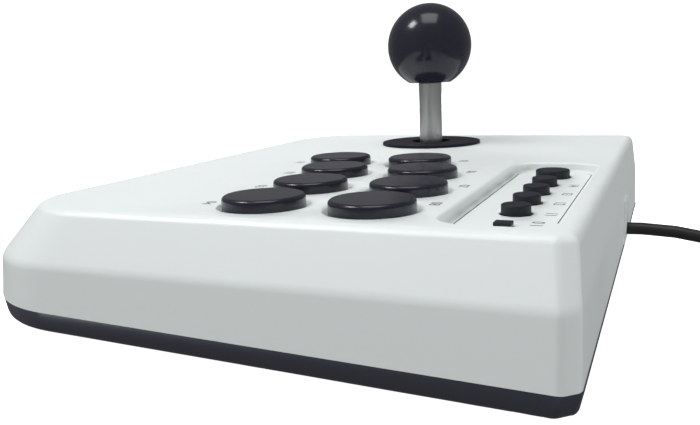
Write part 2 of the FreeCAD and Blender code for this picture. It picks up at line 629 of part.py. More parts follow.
def cross_pin(name, radius, reach, along_x):
    """A pin through the lever's pivot, along the case or across it."""
    pin = doc.addObject("Part::Cylinder", name)
    pin.setExpression("Radius", radius)
    pin.setExpression("Height", f"2 * ({reach})")
    turn = FreeCAD.Rotation(FreeCAD.Vector(0, 1, 0) if along_x else FreeCAD.Vector(1, 0, 0), 90)
    pin.Placement = FreeCAD.Placement(FreeCAD.Vector(), turn)
    if along_x:
        x, y, depth = f"dims.lever_x - ({reach})", "dims.lever_y", "0"
    else:
        x, y, depth = "dims.lever_x", f"dims.lever_y + ({reach})", "0"
        pin.setExpression(".Placement.Rotation.Angle", "90 + dims.top_tilt")
    z = "(-dims.pivot_depth)"
    pin.setExpression(".Placement.Base.x", x)
    pin.setExpression(".Placement.Base.y", f"({y}) * cos(dims.top_tilt) - {z} * sin(dims.top_tilt)")
    pin.setExpression(".Placement.Base.z",
                      f"dims.top_height + ({y}) * sin(dims.top_tilt) + {z} * cos(dims.top_tilt)")
    return pin


def screw(name, x, y, seat_height, tip, head, shank, deck=True):
    """A screw driven from below, its head under its seat."""
    head_radius, head_height = head
    top = cylinder(name + "_head", head_radius, f"{seat_height} - {head_height}", seat_height, x, y, deck)
    return fuse(name, [top, cylinder(name + "_shank", shank, seat_height, tip, x, y, deck)])


# Top shell: the inside is the room less the posts, guides and bosses that stay
def bay_tool():
    """The panel bay's hollow: leaning walls with a round at their foot, run on past the deck."""
    body = doc.addObject("PartDesign::Body", "bay_hollow")
    above = "(dims.bay_lean / dims.bay_depth)"
    floor = new_sketch(body, "bay_floor_outline", "XY_Plane", PANEL)
    draw_rounded(floor, *bay_spans("dims.bay_lean"), "(dims.bay_corner - dims.bay_lean)")
    top = new_sketch(body, "bay_top_outline", "XY_Plane", PAST)
    draw_rounded(top, *bay_spans(f"-{above}"), f"(dims.bay_corner + {above})")
    feature = body.newObject("PartDesign::AdditiveLoft", "bay_loft")
    feature.Profile = top
    feature.Sections = [floor]
    feature.Ruled = True
    seat(body)
    return rounded("bay_cutter", body, lambda edge: lies_at(edge, size(PANEL)), "dims.bay_floor_fillet")


bayed_shell = cut("bayed_shell", smooth_shell, [bay_tool()])


def on_bay_edge(edge):
    """Whether an edge runs round the bay at the deck."""
    box = edge.BoundBox
    inside = box.XMin > size("dims.bay_left") - 1 and box.XMax < size("dims.bay_right") + 1
    return lies_at(edge, 0) and inside and box.YMin > size("dims.bay_front") - 2


def on_pad_face(edge):
    """Whether an edge runs round the face of the raised pad, but for its foot."""
    return edge.BoundBox.YMin > size("dims.pad_face") - 0.01 and edge.BoundBox.ZMax > size(SEAM) + 0.01


soft_shell = rounded("soft_shell", bayed_shell, on_bay_edge, "dims.bay_edge_fillet")
bay_block = plate("bay_block", *bay_spans("-dims.bay_margin"), (BAY_UNDER, "0"), "dims.bay_corner")
PAD_X = ("dims.cable_x - dims.pad_half", "dims.cable_x + dims.pad_half")
PAD_BACK = f"({EDGE} - dims.pad_back)"
raised_pad = block("raised_pad", PAD_X, (f"{EDGE} - dims.wall", "dims.pad_face"), (SEAM, "dims.pad_height"),
                   deck=False)
soft_pad = rounded("soft_pad", raised_pad, on_pad_face, "dims.pad_fillet")
padded_shell = fuse("padded_shell", [soft_shell, soft_pad])
kept = [bay_block, block("inner_pad", PAD_X, (PAD_BACK, EDGE), (SEAM, "dims.pad_height"), deck=False)]
kept += at_each("top_post", post_spots, lambda name, x, y: cylinder(
    name, "dims.post_radius", "dims.post_seat", "dims.top_height + dims.wall", x, y, deck=False))
kept += at_each("guide", button_spots, lambda name, x, y: cylinder(
    name, f"{BORE} + dims.guide_wall", "-dims.guide_depth", "0", x, y))
kept += at_each("board_boss", board_spots, lambda name, x, y: cylinder(
    name, "dims.boss_radius", "-dims.board_depth", "0", x, y))
kept += at_each("lever_boss", lever_spots, lambda name, x, y: cylinder(
    name, "dims.lever_boss_radius", "-dims.housing_top", "0", x, y))
kept += at_each("panel_boss", panel_spots, lambda name, x, y: cylinder(
    name, "dims.panel_boss_radius", PANEL_BOARD, BAY_UNDER, x, y))
inside = cut("inside", shell_room, kept)

LONG = "(dims.body_length)"
holes = [inside, block("below_seam", (f"-{LONG}", LONG), (f"-{LONG}", LONG), (f"-{LONG}", SEAM), deck=False)]
holes += at_each("sunk_ring", button_spots, lambda name, x, y: cylinder(
    name, "dims.ring_radius", "-dims.ring_depth", PAST, x, y))
holes += at_each("guide_bore", button_spots, lambda name, x, y: cylinder(
    name, BORE, f"-dims.guide_depth - {PAST}", PAST, x, y))
holes += at_each("post_pilot_hole", post_spots, lambda name, x, y: cylinder(
    name, "dims.post_pilot", f"dims.post_seat - {PAST}",
    f"dims.foot_drop + dims.head_bore_depth + dims.screw_length + {PAST}", x, y, deck=False))
holes += at_each("boss_pilot_hole", board_spots, lambda name, x, y: cylinder(
    name, "dims.boss_pilot", f"-dims.board_depth - {PAST}",
    f"{BOARD_UNDER} + dims.board_screw_length + {PAST}", x, y))
holes += at_each("lever_pilot_hole", lever_spots, lambda name, x, y: cylinder(
    name, "dims.lever_screw_radius + dims.pin_gap", f"-dims.housing_top - {PAST}",
    "-dims.lever_screw_tip + dims.pin_end_gap", x, y))
holes += at_each("panel_pilot_hole", panel_spots, lambda name, x, y: cylinder(
    name, "dims.boss_pilot", f"{PANEL_BOARD} - {PAST}",
    f"{PANEL_BOARD} - dims.board_thickness + dims.panel_screw_length + dims.pin_end_gap", x, y))
holes.append(cylinder("lever_hole", "dims.deck_hole", "-dims.housing_top", PAST, "dims.lever_x",
                      "dims.lever_y"))
holes.append(plate("panel_pocket", *bay_spans("dims.panel_inset - dims.panel_gap"),
                   (PANEL_BACK, f"{PANEL} + {PAST}"),
                   "(dims.bay_corner - dims.panel_inset + dims.panel_gap)"))
holes.append(plate("panel_window", *bay_spans(WINDOW), (f"{BAY_UNDER} - {PAST}", PANEL_BACK),
                   "dims.plate_corner"))


def along_y(name, radius, near, far, x, z):
    """A round bar along the depth of the case."""
    piece = doc.addObject("Part::Cylinder", name)
    piece.setExpression("Radius", radius)
    piece.setExpression("Height", f"({far}) - ({near})")
    piece.Placement = FreeCAD.Placement(FreeCAD.Vector(), FreeCAD.Rotation(FreeCAD.Vector(1, 0, 0), -90))
    return seat(piece, x, near, z, deck=False)


holes.append(along_y("cable_hole", "dims.cable_radius + dims.cable_hole_gap", f"{PAD_BACK} - {PAST}",
                     f"dims.pad_face + {PAST}", "dims.cable_x", "dims.cable_height"))
SLOT_HALF = "(dims.cable_radius + dims.cable_hole_gap)"
holes.append(block("cable_slot", (f"dims.cable_x - {SLOT_HALF}", f"dims.cable_x + {SLOT_HALF}"),
                   (f"{PAD_BACK} - {PAST}", f"dims.pad_face + {PAST}"),
                   ("dims.cable_height", "dims.cable_height + dims.cable_radius + dims.slot_rise"),
                   deck=False))
node(cut("top_shell_body", padded_shell, holes), "top_shell")

# Base tray
LEAN_END = f"(dims.end_lower_inset / ({SKIRT} - {SEAM}) * tan(dims.top_tilt))"
LEAN_FRONT = f"(dims.front_lower_inset / ({SKIRT} - {SEAM}) * tan(dims.top_tilt))"
LEAN_BACK = f"(dims.back_lower_inset / ({SKIRT} - {SEAM}) * tan(dims.top_tilt))"


def base_outline(body, name, height, inset):
    """The case's outline where its sloping form is cut level at the seam, inset."""
    sketch = new_sketch(body, name, "XY_Plane", height)
    draw_case(sketch, f"({HALF} - {LEAN_END} * ({EDGE} - dims.corner_seam) - ({inset}))",
              f"({HALF} + {LEAN_END} * {EDGE} - ({inset}))", f"(-{EDGE} + {LEAN_FRONT} * {EDGE} + ({inset}))",
              f"({EDGE} + {LEAN_BACK} * {EDGE} - ({inset}))", f"(dims.corner_seam - ({inset}))")
    return sketch


def base_slab(name, inset, low, high):
    """An upright slab of the base's outline."""
    body = doc.addObject("PartDesign::Body", name)
    pad = body.newObject("PartDesign::Pad", name + "_pad")
    pad.Profile = base_outline(body, name + "_outline", low, inset)
    pad.setExpression("Length", f"({high}) - ({low})")
    return body


base_form = doc.addObject("PartDesign::Body", "base_form")
lower_outline = base_outline(base_form, "base_lower", "dims.foot_drop", "dims.base_inset")
seam_outline = base_outline(base_form, "base_seam", SEAM, "0")
base_loft = base_form.newObject("PartDesign::AdditiveLoft", "base_loft")
base_loft.Profile = seam_outline
base_loft.Sections = [lower_outline]
base_loft.Ruled = True
FLOOR = "(dims.foot_drop + dims.floor_wall)"
TONGUE = "(dims.wall + dims.tongue_gap)"
smooth_base = rounded("smooth_base", base_form,
                      lambda edge: edge.BoundBox.ZMax < size("dims.foot_drop") + 0.01,
                      "dims.base_fillet")
tongue = base_slab("tongue", TONGUE, FLOOR, f"{SEAM} + dims.tongue_height")
tray_room = base_slab("tray_room", f"({TONGUE} + dims.tongue_wall)", FLOOR,
                      f"{SEAM} + dims.tongue_height + {PAST}")
tongue_gap = block("tongue_notch", (f"{PAD_X[0]} - dims.tongue_gap", f"{PAD_X[1]} + dims.tongue_gap"),
                   (f"{EDGE} - 2 * {TONGUE}", EDGE), (SEAM, f"{SEAM} + dims.tongue_height + {PAST}"),
                   deck=False)
tray = cut("tray", fuse("tray_rim", [smooth_base, tongue]), [tray_room, tongue_gap])
base_posts = at_each("base_post", post_spots, lambda name, x, y: cylinder(
    name, "dims.post_radius", "dims.foot_drop + dims.floor_wall / 2", "dims.post_seat", x, y, deck=False))
HEAD_SEAT = "(dims.foot_drop + dims.head_bore_depth)"
base_holes = at_each("post_hole", post_spots, lambda name, x, y: cylinder(
    name, "dims.screw_radius + dims.fit_gap", "0", f"dims.post_seat + {PAST}", x, y, deck=False))
base_holes += at_each("head_bore", post_spots, lambda name, x, y: cylinder(
    name, "dims.head_bore_radius", "0", HEAD_SEAT, x, y, deck=False))
base_holes += at_each("foot_recess", foot_spots, lambda name, x, y: cylinder(
    name, "dims.foot_radius + dims.foot_gap", "0", "dims.foot_drop + dims.foot_sink", x, y, deck=False))
wide_posts = at_each("base_post_foot", post_spots, lambda name, x, y: cylinder(
    name, "dims.head_bore_radius + dims.tongue_wall", "dims.foot_drop + dims.floor_wall / 2",
    f"{HEAD_SEAT} + dims.tongue_wall", x, y, deck=False))
node(cut("base_tray_body", fuse("tray_with_posts", [tray] + base_posts + wide_posts), base_holes),
     "base_tray")

for i, (x, y) in enumerate(foot_spots, 1):
    foot = cylinder(f"foot_{i}", "dims.foot_radius", "0", "dims.foot_drop + dims.foot_sink", x, y, deck=False)
    node(rounded(f"soft_foot_{i}", foot, lambda edge: edge.BoundBox.ZMax < 0.01, "dims.foot_sink"),
         f"rubber_foot_{i}")

case_head = ("dims.screw_head_radius", "dims.screw_head_height")
node(group("case_screw_set", [
    screw(f"case_screw_{i}", x, y, HEAD_SEAT, f"{HEAD_SEAT} + dims.screw_length", case_head,
          "dims.screw_radius",
          deck=False) for i, (x, y) in enumerate(post_spots, 1)]), "case_screws")

# Push buttons over a silicone dome sheet and the main board
FLANGE_TOP = "(-dims.guide_depth)"
FLANGE_LOW = f"({FLANGE_TOP} - dims.flange_height)"
CAP_ROOF = "(dims.button_rise - dims.button_wall)"
for i, (x, y) in enumerate(button_spots, 1):
    cap = turned(f"cap_{i}", [
        ("0", "dims.button_rise"), ("dims.button_radius", "dims.button_rise"),
        ("dims.button_radius", FLANGE_TOP),
        ("dims.flange_radius", FLANGE_TOP), ("dims.flange_radius", FLANGE_LOW),
        ("dims.button_radius - dims.button_wall", FLANGE_LOW),
        ("dims.button_radius - dims.button_wall", CAP_ROOF),
        ("dims.stem_radius", CAP_ROOF), ("dims.stem_radius", "-dims.stem_depth"),
        ("0", "-dims.stem_depth")], x, y)
    node(rounded(f"soft_cap_{i}", cap,
                 lambda edge: lies_at(edge, size("dims.button_rise")) and edge.Length > 1,
                 "dims.button_round"), f"button_{i}")

MAT_TOP = "(-dims.board_depth + dims.mat_thickness)"
MAT_X = ("dims.board_left + dims.mat_margin", "dims.board_right - dims.mat_margin")
MAT_Y = ("dims.board_front + dims.mat_margin", "dims.board_back - dims.mat_margin")
mat_sheet = plate("mat_sheet", MAT_X, MAT_Y, ("-dims.board_depth", MAT_TOP), "dims.board_corner")
domes = at_each("dome", button_spots, lambda name, x, y: cone(
    name, "dims.dome_foot", "dims.dome_head", MAT_TOP, "-dims.stem_depth", x, y))
dome_rooms = at_each("dome_room", button_spots, lambda name, x, y: cone(
    name, "dims.dome_foot - dims.dome_wall", "dims.dome_head - dims.dome_wall", "-dims.board_depth",
    "-dims.stem_depth - dims.dome_wall", x, y))
mat_holes = at_each("mat_hole", board_spots, lambda name, x, y: cylinder(
    name, "dims.boss_radius + dims.fit_gap", f"-dims.board_depth - {PAST}", f"{MAT_TOP} + {PAST}", x, y))
node(cut("dome_mat_body", fuse("dome_mat_form", [mat_sheet] + domes), dome_rooms + mat_holes),
     "button_dome_mat")

board_slab = plate("board_slab", ("dims.board_left", "dims.board_right"),
                   ("dims.board_front", "dims.board_back"),
                   (BOARD_UNDER, "-dims.board_depth"), "dims.board_corner")
board_holes = at_each("board_screw_hole", board_spots, lambda name, x, y: cylinder(
    name, "dims.boss_pilot", f"{BOARD_UNDER} - {PAST}", f"-dims.board_depth + {PAST}", x, y))
node(cut("main_board_body", board_slab, board_holes), "main_board")
board_head = ("dims.board_screw_head", "dims.board_screw_head_height")
node(group("board_screw_set", [
    screw(f"board_screw_{i}", x, y, BOARD_UNDER, f"{BOARD_UNDER} + dims.board_screw_length", board_head,
          "dims.board_screw_radius") for i, (x, y) in enumerate(board_spots, 1)]), "board_screws")

# Control panel: a plate let into the bay floor, five keys and a slide switch
panel_slab = plate("panel_slab", *bay_spans("dims.panel_inset"), (PANEL_BACK, PANEL),
                   "(dims.bay_corner - dims.panel_inset)")
THROUGH_PANEL = (f"{PANEL_BACK} - {PAST}", f"{PANEL} + {PAST}")
panel_holes = [cylinder(f"key_hole_{i}", f"{radius} + dims.key_hole_gap", *THROUGH_PANEL, x, "dims.key_line")
               for i, (x, radius) in enumerate(key_spots, 1)]
STEM_HALF = "(dims.knob_stem_length / 2 + dims.fit_gap)"
STEM_SIDE = "(dims.knob_stem_width / 2 + dims.fit_gap)"
SLOT_X = (f"dims.knob_x - dims.knob_travel - {STEM_HALF}", f"dims.knob_x + {STEM_HALF}")
SLOT_Y = (f"dims.key_line - {STEM_SIDE}", f"dims.key_line + {STEM_SIDE}")
panel_holes.append(block("knob_slot", SLOT_X, SLOT_Y, THROUGH_PANEL))
node(cut("control_panel_body", panel_slab, panel_holes), "control_panel")

KEY_TOP = f"({PANEL} + dims.key_rise)"
KEY_FLANGE = f"({PANEL_BACK} - dims.key_flange_height)"
KEY_END = f"({PANEL} - dims.key_stem_depth)"
for i, (x, radius) in enumerate(key_spots, 1):
    label = f"key_{i}" if i < len(key_spots) else "home_key"
    cap = turned(label + "_form", [
        ("0", KEY_TOP), (radius, KEY_TOP), (radius, PANEL_BACK), (f"{radius} + dims.key_flange", PANEL_BACK),
        (f"{radius} + dims.key_flange", KEY_FLANGE), ("dims.key_stem_radius", KEY_FLANGE),
        ("dims.key_stem_radius", KEY_END), ("0", KEY_END)], x, "dims.key_line")
    node(rounded(label + "_soft", cap, lambda edge: lies_at(edge, size(KEY_TOP)) and edge.Length > 1,
                 "dims.key_round"), label)

STRIP_TOP = f"({PANEL_BOARD} + dims.strip_thickness)"
strip_sheet = plate("strip_sheet", ("dims.home_x - dims.strip_end", "dims.key_first + dims.strip_end"),
                    ("dims.key_line - dims.strip_half_width", "dims.key_line + dims.strip_half_width"),
                    (PANEL_BOARD, STRIP_TOP), "dims.plate_corner")
key_domes = [cone(f"key_dome_{i}", "dims.key_dome_foot", "dims.key_dome_head", STRIP_TOP, KEY_END, x,
                  "dims.key_line")
             for i, (x, radius) in enumerate(key_spots, 1)]
key_dome_rooms = [cone(f"key_dome_room_{i}", "dims.key_dome_foot - dims.key_dome_wall",
                       "dims.key_dome_head - dims.key_dome_wall", PANEL_BOARD,
                       f"{KEY_END} - dims.key_dome_wall", x,
                       "dims.key_line") for i, (x, radius) in enumerate(key_spots, 1)]
node(cut("key_strip_body", fuse("key_strip_form", [strip_sheet] + key_domes), key_dome_rooms),
     "key_dome_strip")

PANEL_BOARD_UNDER = f"({PANEL_BOARD} - dims.board_thickness)"
panel_board_slab = plate("panel_board_slab", *bay_spans("dims.panel_board_margin"),
                         (PANEL_BOARD_UNDER, PANEL_BOARD),
                         "dims.board_corner")
panel_board_holes = at_each("panel_screw_hole", panel_spots, lambda name, x, y: cylinder(
    name, "dims.boss_pilot", f"{PANEL_BOARD_UNDER} - {PAST}", f"{PANEL_BOARD} + {PAST}", x, y))
node(cut("panel_board_body", panel_board_slab, panel_board_holes), "panel_board")
node(group("panel_screw_set", [
    screw(f"panel_screw_{i}", x, y, PANEL_BOARD_UNDER, f"{PANEL_BOARD_UNDER} + dims.panel_screw_length",
          board_head,
          "dims.board_screw_radius") for i, (x, y) in enumerate(panel_spots, 1)]), "panel_screws")

SWITCH_TOP = f"({PANEL_BACK} - dims.key_flange_height)"
SWITCH_FLOOR = f"({SWITCH_TOP} - dims.knob_travel)"
SWITCH_MID = "(dims.knob_x - dims.knob_travel / 2)"
switch_block = block("switch_block", (f"{SWITCH_MID} - dims.switch_body_length / 2",
                                      f"{SWITCH_MID} + dims.switch_body_length / 2"),
                     ("dims.key_line - dims.switch_body_width / 2",
                      "dims.key_line + dims.switch_body_width / 2"),
                     (PANEL_BOARD, SWITCH_TOP))
switch_slot = block("switch_slot", SLOT_X, SLOT_Y, (SWITCH_FLOOR, f"{SWITCH_TOP} + {PAST}"))
node(cut("mode_switch_body", switch_block, [switch_slot]), "mode_switch")
knob_head = block("knob_head", ("dims.knob_x - dims.knob_length / 2", "dims.knob_x + dims.knob_length / 2"),
                  ("dims.key_line - dims.knob_width / 2", "dims.key_line + dims.knob_width / 2"),
                  (f"{PANEL} + dims.panel_gap", f"{PANEL} + dims.knob_rise"))
knob_stem = block("knob_stem",
                  ("dims.knob_x - dims.knob_stem_length / 2", "dims.knob_x + dims.knob_stem_length / 2"),
                  ("dims.key_line - dims.knob_stem_width / 2", "dims.key_line + dims.knob_stem_width / 2"),
                  (SWITCH_FLOOR, f"{PANEL} + dims.knob_rise / 2"))
node(fuse("mode_knob_body", [knob_head, knob_stem]), "mode_knob")

# Lever: a shaft in a gimbal, its foot among four switches over a square gate
PIVOT = "(-dims.pivot_depth)"
HERE = ("dims.lever_x", "dims.lever_y")
PIN_END = "(dims.housing_room + dims.pin_grip)"
housing_box = lever_square("housing_box", "dims.housing_half", "-dims.housing_bottom", "-dims.housing_top")
housing_cuts = [lever_square("housing_hollow", "dims.housing_room", f"-dims.housing_bottom - {PAST}",
                             "-dims.housing_top - dims.housing_plate"),
                cylinder("housing_hole", "dims.grommet_hole", "-dims.housing_bottom", "0", *HERE),
                cross_pin("housing_pin_hole", "dims.pin_radius + dims.pin_gap", PIN_END, True)]
housing_cuts += at_each("housing_screw_hole", lever_spots, lambda name, x, y: cylinder(
    name, "dims.lever_screw_hole", f"-dims.housing_bottom - {PAST}", f"-dims.housing_top + {PAST}", x, y))
node(cut("lever_housing_body", housing_box, housing_cuts), "lever_housing")

ring_low, ring_high = f"{PIVOT} - dims.gimbal_half", f"{PIVOT} + dims.gimbal_half"
gimbal_pin = cross_pin("gimbal_pin", "dims.pin_radius", f"({PIN_END} - dims.pin_end_gap)", True)
gimbal_disc = cylinder("gimbal_disc", "dims.gimbal_outer", ring_low, ring_high, *HERE)
gimbal_eye = cylinder("gimbal_eye", "dims.gimbal_inner", f"{ring_low} - {PAST}", f"{ring_high} + {PAST}",
                      *HERE)
gimbal_cross = cross_pin("gimbal_cross_hole", "dims.pin_radius + dims.pin_gap",
                         f"dims.gimbal_outer + {PAST}", False)
node(cut("gimbal_ring_body", fuse("gimbal_form", [gimbal_disc, gimbal_pin]), [gimbal_eye, gimbal_cross]),
     "gimbal_ring")

SHOULDER = "(dims.ball_height - dims.ball_flat)"
STUD_END = f"({SHOULDER} + dims.stud_length)"
HUB_TOP, HUB_LOW = f"({PIVOT} + dims.hub_half)", f"({PIVOT} - dims.hub_half)"
shaft = turned("shaft", [
    ("0", STUD_END), ("dims.stud_radius", STUD_END), ("dims.stud_radius", SHOULDER),
    ("dims.shaft_radius", SHOULDER),
    ("dims.shaft_radius", HUB_TOP), ("dims.hub_radius", HUB_TOP), ("dims.hub_radius", HUB_LOW),
    ("dims.neck_radius", HUB_LOW), ("dims.neck_radius", "-dims.actuator_top"),
    ("dims.tip_radius", "-dims.actuator_top"), ("dims.tip_radius", "-dims.tip_depth"),
    ("0", "-dims.tip_depth")],
    *HERE)
shaft_pin = cross_pin("shaft_pin", "dims.pin_radius", "dims.gimbal_outer - dims.pin_end_gap", False)
node(fuse("lever_shaft_body", [shaft, shaft_pin]), "lever_shaft")

ball = doc.addObject("Part::Sphere", "ball")
ball.setExpression("Radius", "dims.ball_radius")
seat(ball, *HERE, "dims.ball_height")
ball_cuts = [lever_square("ball_flat_cut", f"dims.ball_radius + {PAST}", "0", SHOULDER),
             cylinder("ball_bore", "dims.stud_radius + dims.pin_gap", f"{SHOULDER} - {PAST}",
                      f"{SHOULDER} + dims.ball_bore_depth", *HERE)]
node(cut("ball_top_body", ball, ball_cuts), "ball_top")


def ring(name, inner, outer, low, high):
    """A flat ring about the lever."""
    return cut(name, cylinder(name + "_disc", outer, low, high, *HERE),
               [cylinder(name + "_eye", inner, f"{low} - {PAST}", f"{high} + {PAST}", *HERE)])


node(ring("washer", "dims.washer_hole", "dims.washer_radius", "0", "dims.washer_thickness"), "dust_washer")
node(ring("actuator", "dims.tip_radius + dims.actuator_gap", "dims.actuator_radius", "-dims.actuator_bottom",
          "-dims.actuator_top"), "lever_actuator")
GROMMET_FOOT = "(-dims.housing_top - dims.grommet_thickness)"
GROMMET_TOP = "(-dims.housing_top + dims.grommet_flange_height)"
node(turned("grommet", [
    ("dims.shaft_radius + dims.grommet_gap", GROMMET_FOOT),
    ("dims.grommet_hole - dims.grommet_gap", GROMMET_FOOT),
    ("dims.grommet_hole - dims.grommet_gap", "-dims.housing_top"),
    ("dims.grommet_flange", "-dims.housing_top"),
    ("dims.grommet_flange", GROMMET_TOP), ("dims.washer_hole - dims.neck_gap", GROMMET_TOP),
    ("dims.washer_hole - dims.neck_gap", "dims.washer_thickness - dims.neck_drop"),
    ("dims.shaft_radius + dims.grommet_gap", "dims.washer_thickness - dims.neck_drop")], *HERE),
    "centring_grommet")

SWITCH_BOARD_UNDER = "(-dims.housing_bottom - dims.board_thickness)"
HOUSING_SPANS = (("dims.lever_x - dims.housing_half", "dims.lever_x + dims.housing_half"),
                 ("dims.lever_y - dims.housing_half", "dims.lever_y + dims.housing_half"))


def lever_screw_holes(name, low, high):
    """Holes for the four lever screws."""
    return at_each(name, lever_spots, lambda label, x, y: cylinder(
        label, "dims.lever_screw_hole", f"{low} - {PAST}", f"{high} + {PAST}", x, y))


switch_slab = plate("switch_slab", *HOUSING_SPANS, (SWITCH_BOARD_UNDER, "-dims.housing_bottom"),
                    "dims.plate_corner")
switch_eye = cylinder("switch_eye", "dims.board_hole", f"{SWITCH_BOARD_UNDER} - {PAST}",
                      f"-dims.housing_bottom + {PAST}", *HERE)
node(cut("switch_board_body", switch_slab,
         [switch_eye] + lever_screw_holes("switch_hole", SWITCH_BOARD_UNDER, "-dims.housing_bottom")),
         "switch_board")

MICRO_LOW = f"({SWITCH_BOARD_UNDER} - dims.micro_height)"
BLADE_NEAR = "(dims.actuator_radius + dims.blade_gap)"
BLADE_FAR = f"({BLADE_NEAR} + dims.blade_thickness)"
BLADE_MID = "(-(dims.actuator_top + dims.actuator_bottom) / 2)"


def toward(name, near, far, low, high, bottom, top, side):
    """A block beside the lever, between two reaches out from it, on one of its four sides."""
    out = {"right": (near, far), "left": (f"-({far})", f"-({near})"),
           "back": (near, far), "front": (f"-({far})", f"-({near})")}[side]
    spans = (out, (low, high)) if side in ("right", "left") else ((low, high), out)
    x_span = tuple(f"dims.lever_x + ({bound})" for bound in spans[0])
    y_span = tuple(f"dims.lever_y + ({bound})" for bound in spans[1])
    return block(f"{name}_{side}", x_span, y_span, (bottom, top))


switches, blades = [], []
for side in ("right", "left", "back", "front"):
    switches.append(toward("micro", "dims.micro_reach", "dims.micro_reach + dims.micro_width",
                           "-dims.micro_length / 2", "dims.micro_length / 2", MICRO_LOW, SWITCH_BOARD_UNDER,
                           side))
    leaf = toward("blade", BLADE_NEAR, BLADE_FAR, "-dims.blade_length / 2", "dims.blade_length / 2",
                  f"{BLADE_MID} - dims.blade_width / 2", f"{BLADE_MID} + dims.blade_width / 2", side)
    root = toward("blade_root", BLADE_NEAR, "dims.micro_reach",
                  "dims.blade_length / 2 - dims.blade_thickness",
                  "dims.blade_length / 2", f"{BLADE_MID} - dims.blade_width / 2",
                  f"{BLADE_MID} + dims.blade_width / 2", side)
    blades.append(fuse(f"switch_blade_{side}", [leaf, root]))
node(group("lever_switch_set", switches), "lever_switches")
node(group("switch_blade_set", blades), "switch_blades")

GATE_UNDER = f"({MICRO_LOW} - dims.gate_thickness)"
gate_slab = plate("gate_slab", *HOUSING_SPANS, (GATE_UNDER, MICRO_LOW), "dims.plate_corner")
gate_legs = at_each("gate_leg_post", lever_spots, lambda name, x, y: cylinder(
    name, "dims.gate_leg", MICRO_LOW, SWITCH_BOARD_UNDER, x, y))
gate_eye = lever_square("gate_eye", "dims.gate_half", f"{GATE_UNDER} - {PAST}", f"{MICRO_LOW} + {PAST}")
node(cut("gate_plate_body", fuse("gate_form", [gate_slab] + gate_legs),
         [gate_eye] + lever_screw_holes("gate_hole", GATE_UNDER, SWITCH_BOARD_UNDER)), "gate_plate")
lever_head = ("dims.lever_screw_head", "dims.lever_screw_head_height")
node(group("lever_screw_set", [
    screw(f"lever_screw_{i}", x, y, GATE_UNDER, "-dims.lever_screw_tip", lever_head,
          "dims.lever_screw_radius")
    for i, (x, y) in enumerate(lever_spots, 1)]), "lever_screws")

# Cable: a tube of straight runs and arcs, a put-away coil with its tie, and the plug
relief_tube = along_y("relief_tube", "dims.grommet_radius", f"{PAD_BACK} - dims.grommet_length", PAD_BACK,
                      "dims.cable_x", "dims.cable_height")
relief_bore = along_y("relief_bore", "dims.cable_radius", f"{PAD_BACK} - dims.grommet_length - {PAST}",
                      f"{PAD_BACK} + {PAST}", "dims.cable_x", "dims.cable_height")
node(cut("cable_grommet_body", relief_tube, [relief_bore]), "cable_grommet")


def cord(label, points):
    """A round cord along straight runs joined by tangent arcs; prints its bend radii."""
    points = [FreeCAD.Vector(*(size(value) for value in point)) for point in points]
    runs = [after - before for before, after in zip(points, points[1:])]
    start, edges, radii = points[0], [], []
    for corner, before, after in zip(points[1:], runs, runs[1:]):
        half_turn = before.getAngle(after) / 2
        reach = size("dims.cord_share") * min(before.Length, after.Length)
        radii.append(reach / math.tan(half_turn))
        into, out = before / before.Length, after / after.Length
        inward = out - into
        middle = corner + inward / inward.Length * radii[-1] * (1 / math.cos(half_turn) - 1)
        edges.append(Part.makeLine(start, corner - into * reach))
        start = corner + out * reach
        edges.append(Part.Arc(corner - into * reach, middle, start).toShape())
    edges.append(Part.makeLine(start, points[-1]))
    path = Part.Wire(edges)
    radius = size("dims.cable_radius")
    section = Part.Wire(Part.makeCircle(radius, points[0], runs[0]))
    tube = doc.addObject("Part::Feature", label + "_tube")
    tube.Shape = path.makePipeShell([section], True, True)
    share = tube.Shape.Volume / (math.pi * radius ** 2 * path.Length)
    print(label, "runs", [round(run.Length, 1) for run in runs], "bend radii", [round(r, 1) for r in radii],
          "length", round(path.Length, 1), "volume over section times length", round(share, 4))
    if abs(share - 1) > 0.01:
        raise ValueError(label + " does not fill its section")
    return node(tube, label)


COIL_FLOOR = "dims.tie_thickness"
COIL_TOP = f"({COIL_FLOOR} + dims.coil_height)"
LAY = f"({COIL_FLOOR} + dims.cable_radius)"
ROUTE_1 = "(dims.pad_face + dims.route_bend)"
ROUTE_2 = f"({ROUTE_1} + dims.route_fall)"
cord("usb_cable", [("dims.cable_x", "dims.pad_face - dims.route_start", "dims.cable_height"),
                   ("dims.cable_x", ROUTE_1, "dims.cable_height"), ("dims.cable_x", ROUTE_2, LAY),
                   ("dims.cable_x", f"{ROUTE_2} + dims.route_end", LAY)])
TURN = 30  # degrees from run to run of the cable's end
FAR = f"(dims.tail_radius / cos({TURN / 2}))"
LAID = f"({COIL_TOP} + dims.plug_height / 2)"
tail_turns = [(f"dims.coil_x - {FAR} * cos({TURN * (i + 0.5)})",
               f"dims.coil_y + {FAR} * sin({TURN * (i + 0.5)})")
              for i in range(3)]
cord("usb_cable_tail", [
    ("dims.coil_x - dims.tail_radius", "dims.coil_y - dims.tail_lead", f"{COIL_TOP} - dims.tail_sink"),
    (*tail_turns[0], f"{LAID} - 2 * dims.tail_step"), (*tail_turns[1], f"{LAID} - dims.tail_step"),
    (*tail_turns[2], LAID), ("dims.coil_x + dims.tail_lead", "dims.coil_y + dims.tail_radius", LAID)])


def about_coil(name, radius, low, high):
    """An upright cylinder about the coil's middle."""
    return cylinder(name, radius, low, high, "dims.coil_x", "dims.coil_y", deck=False)


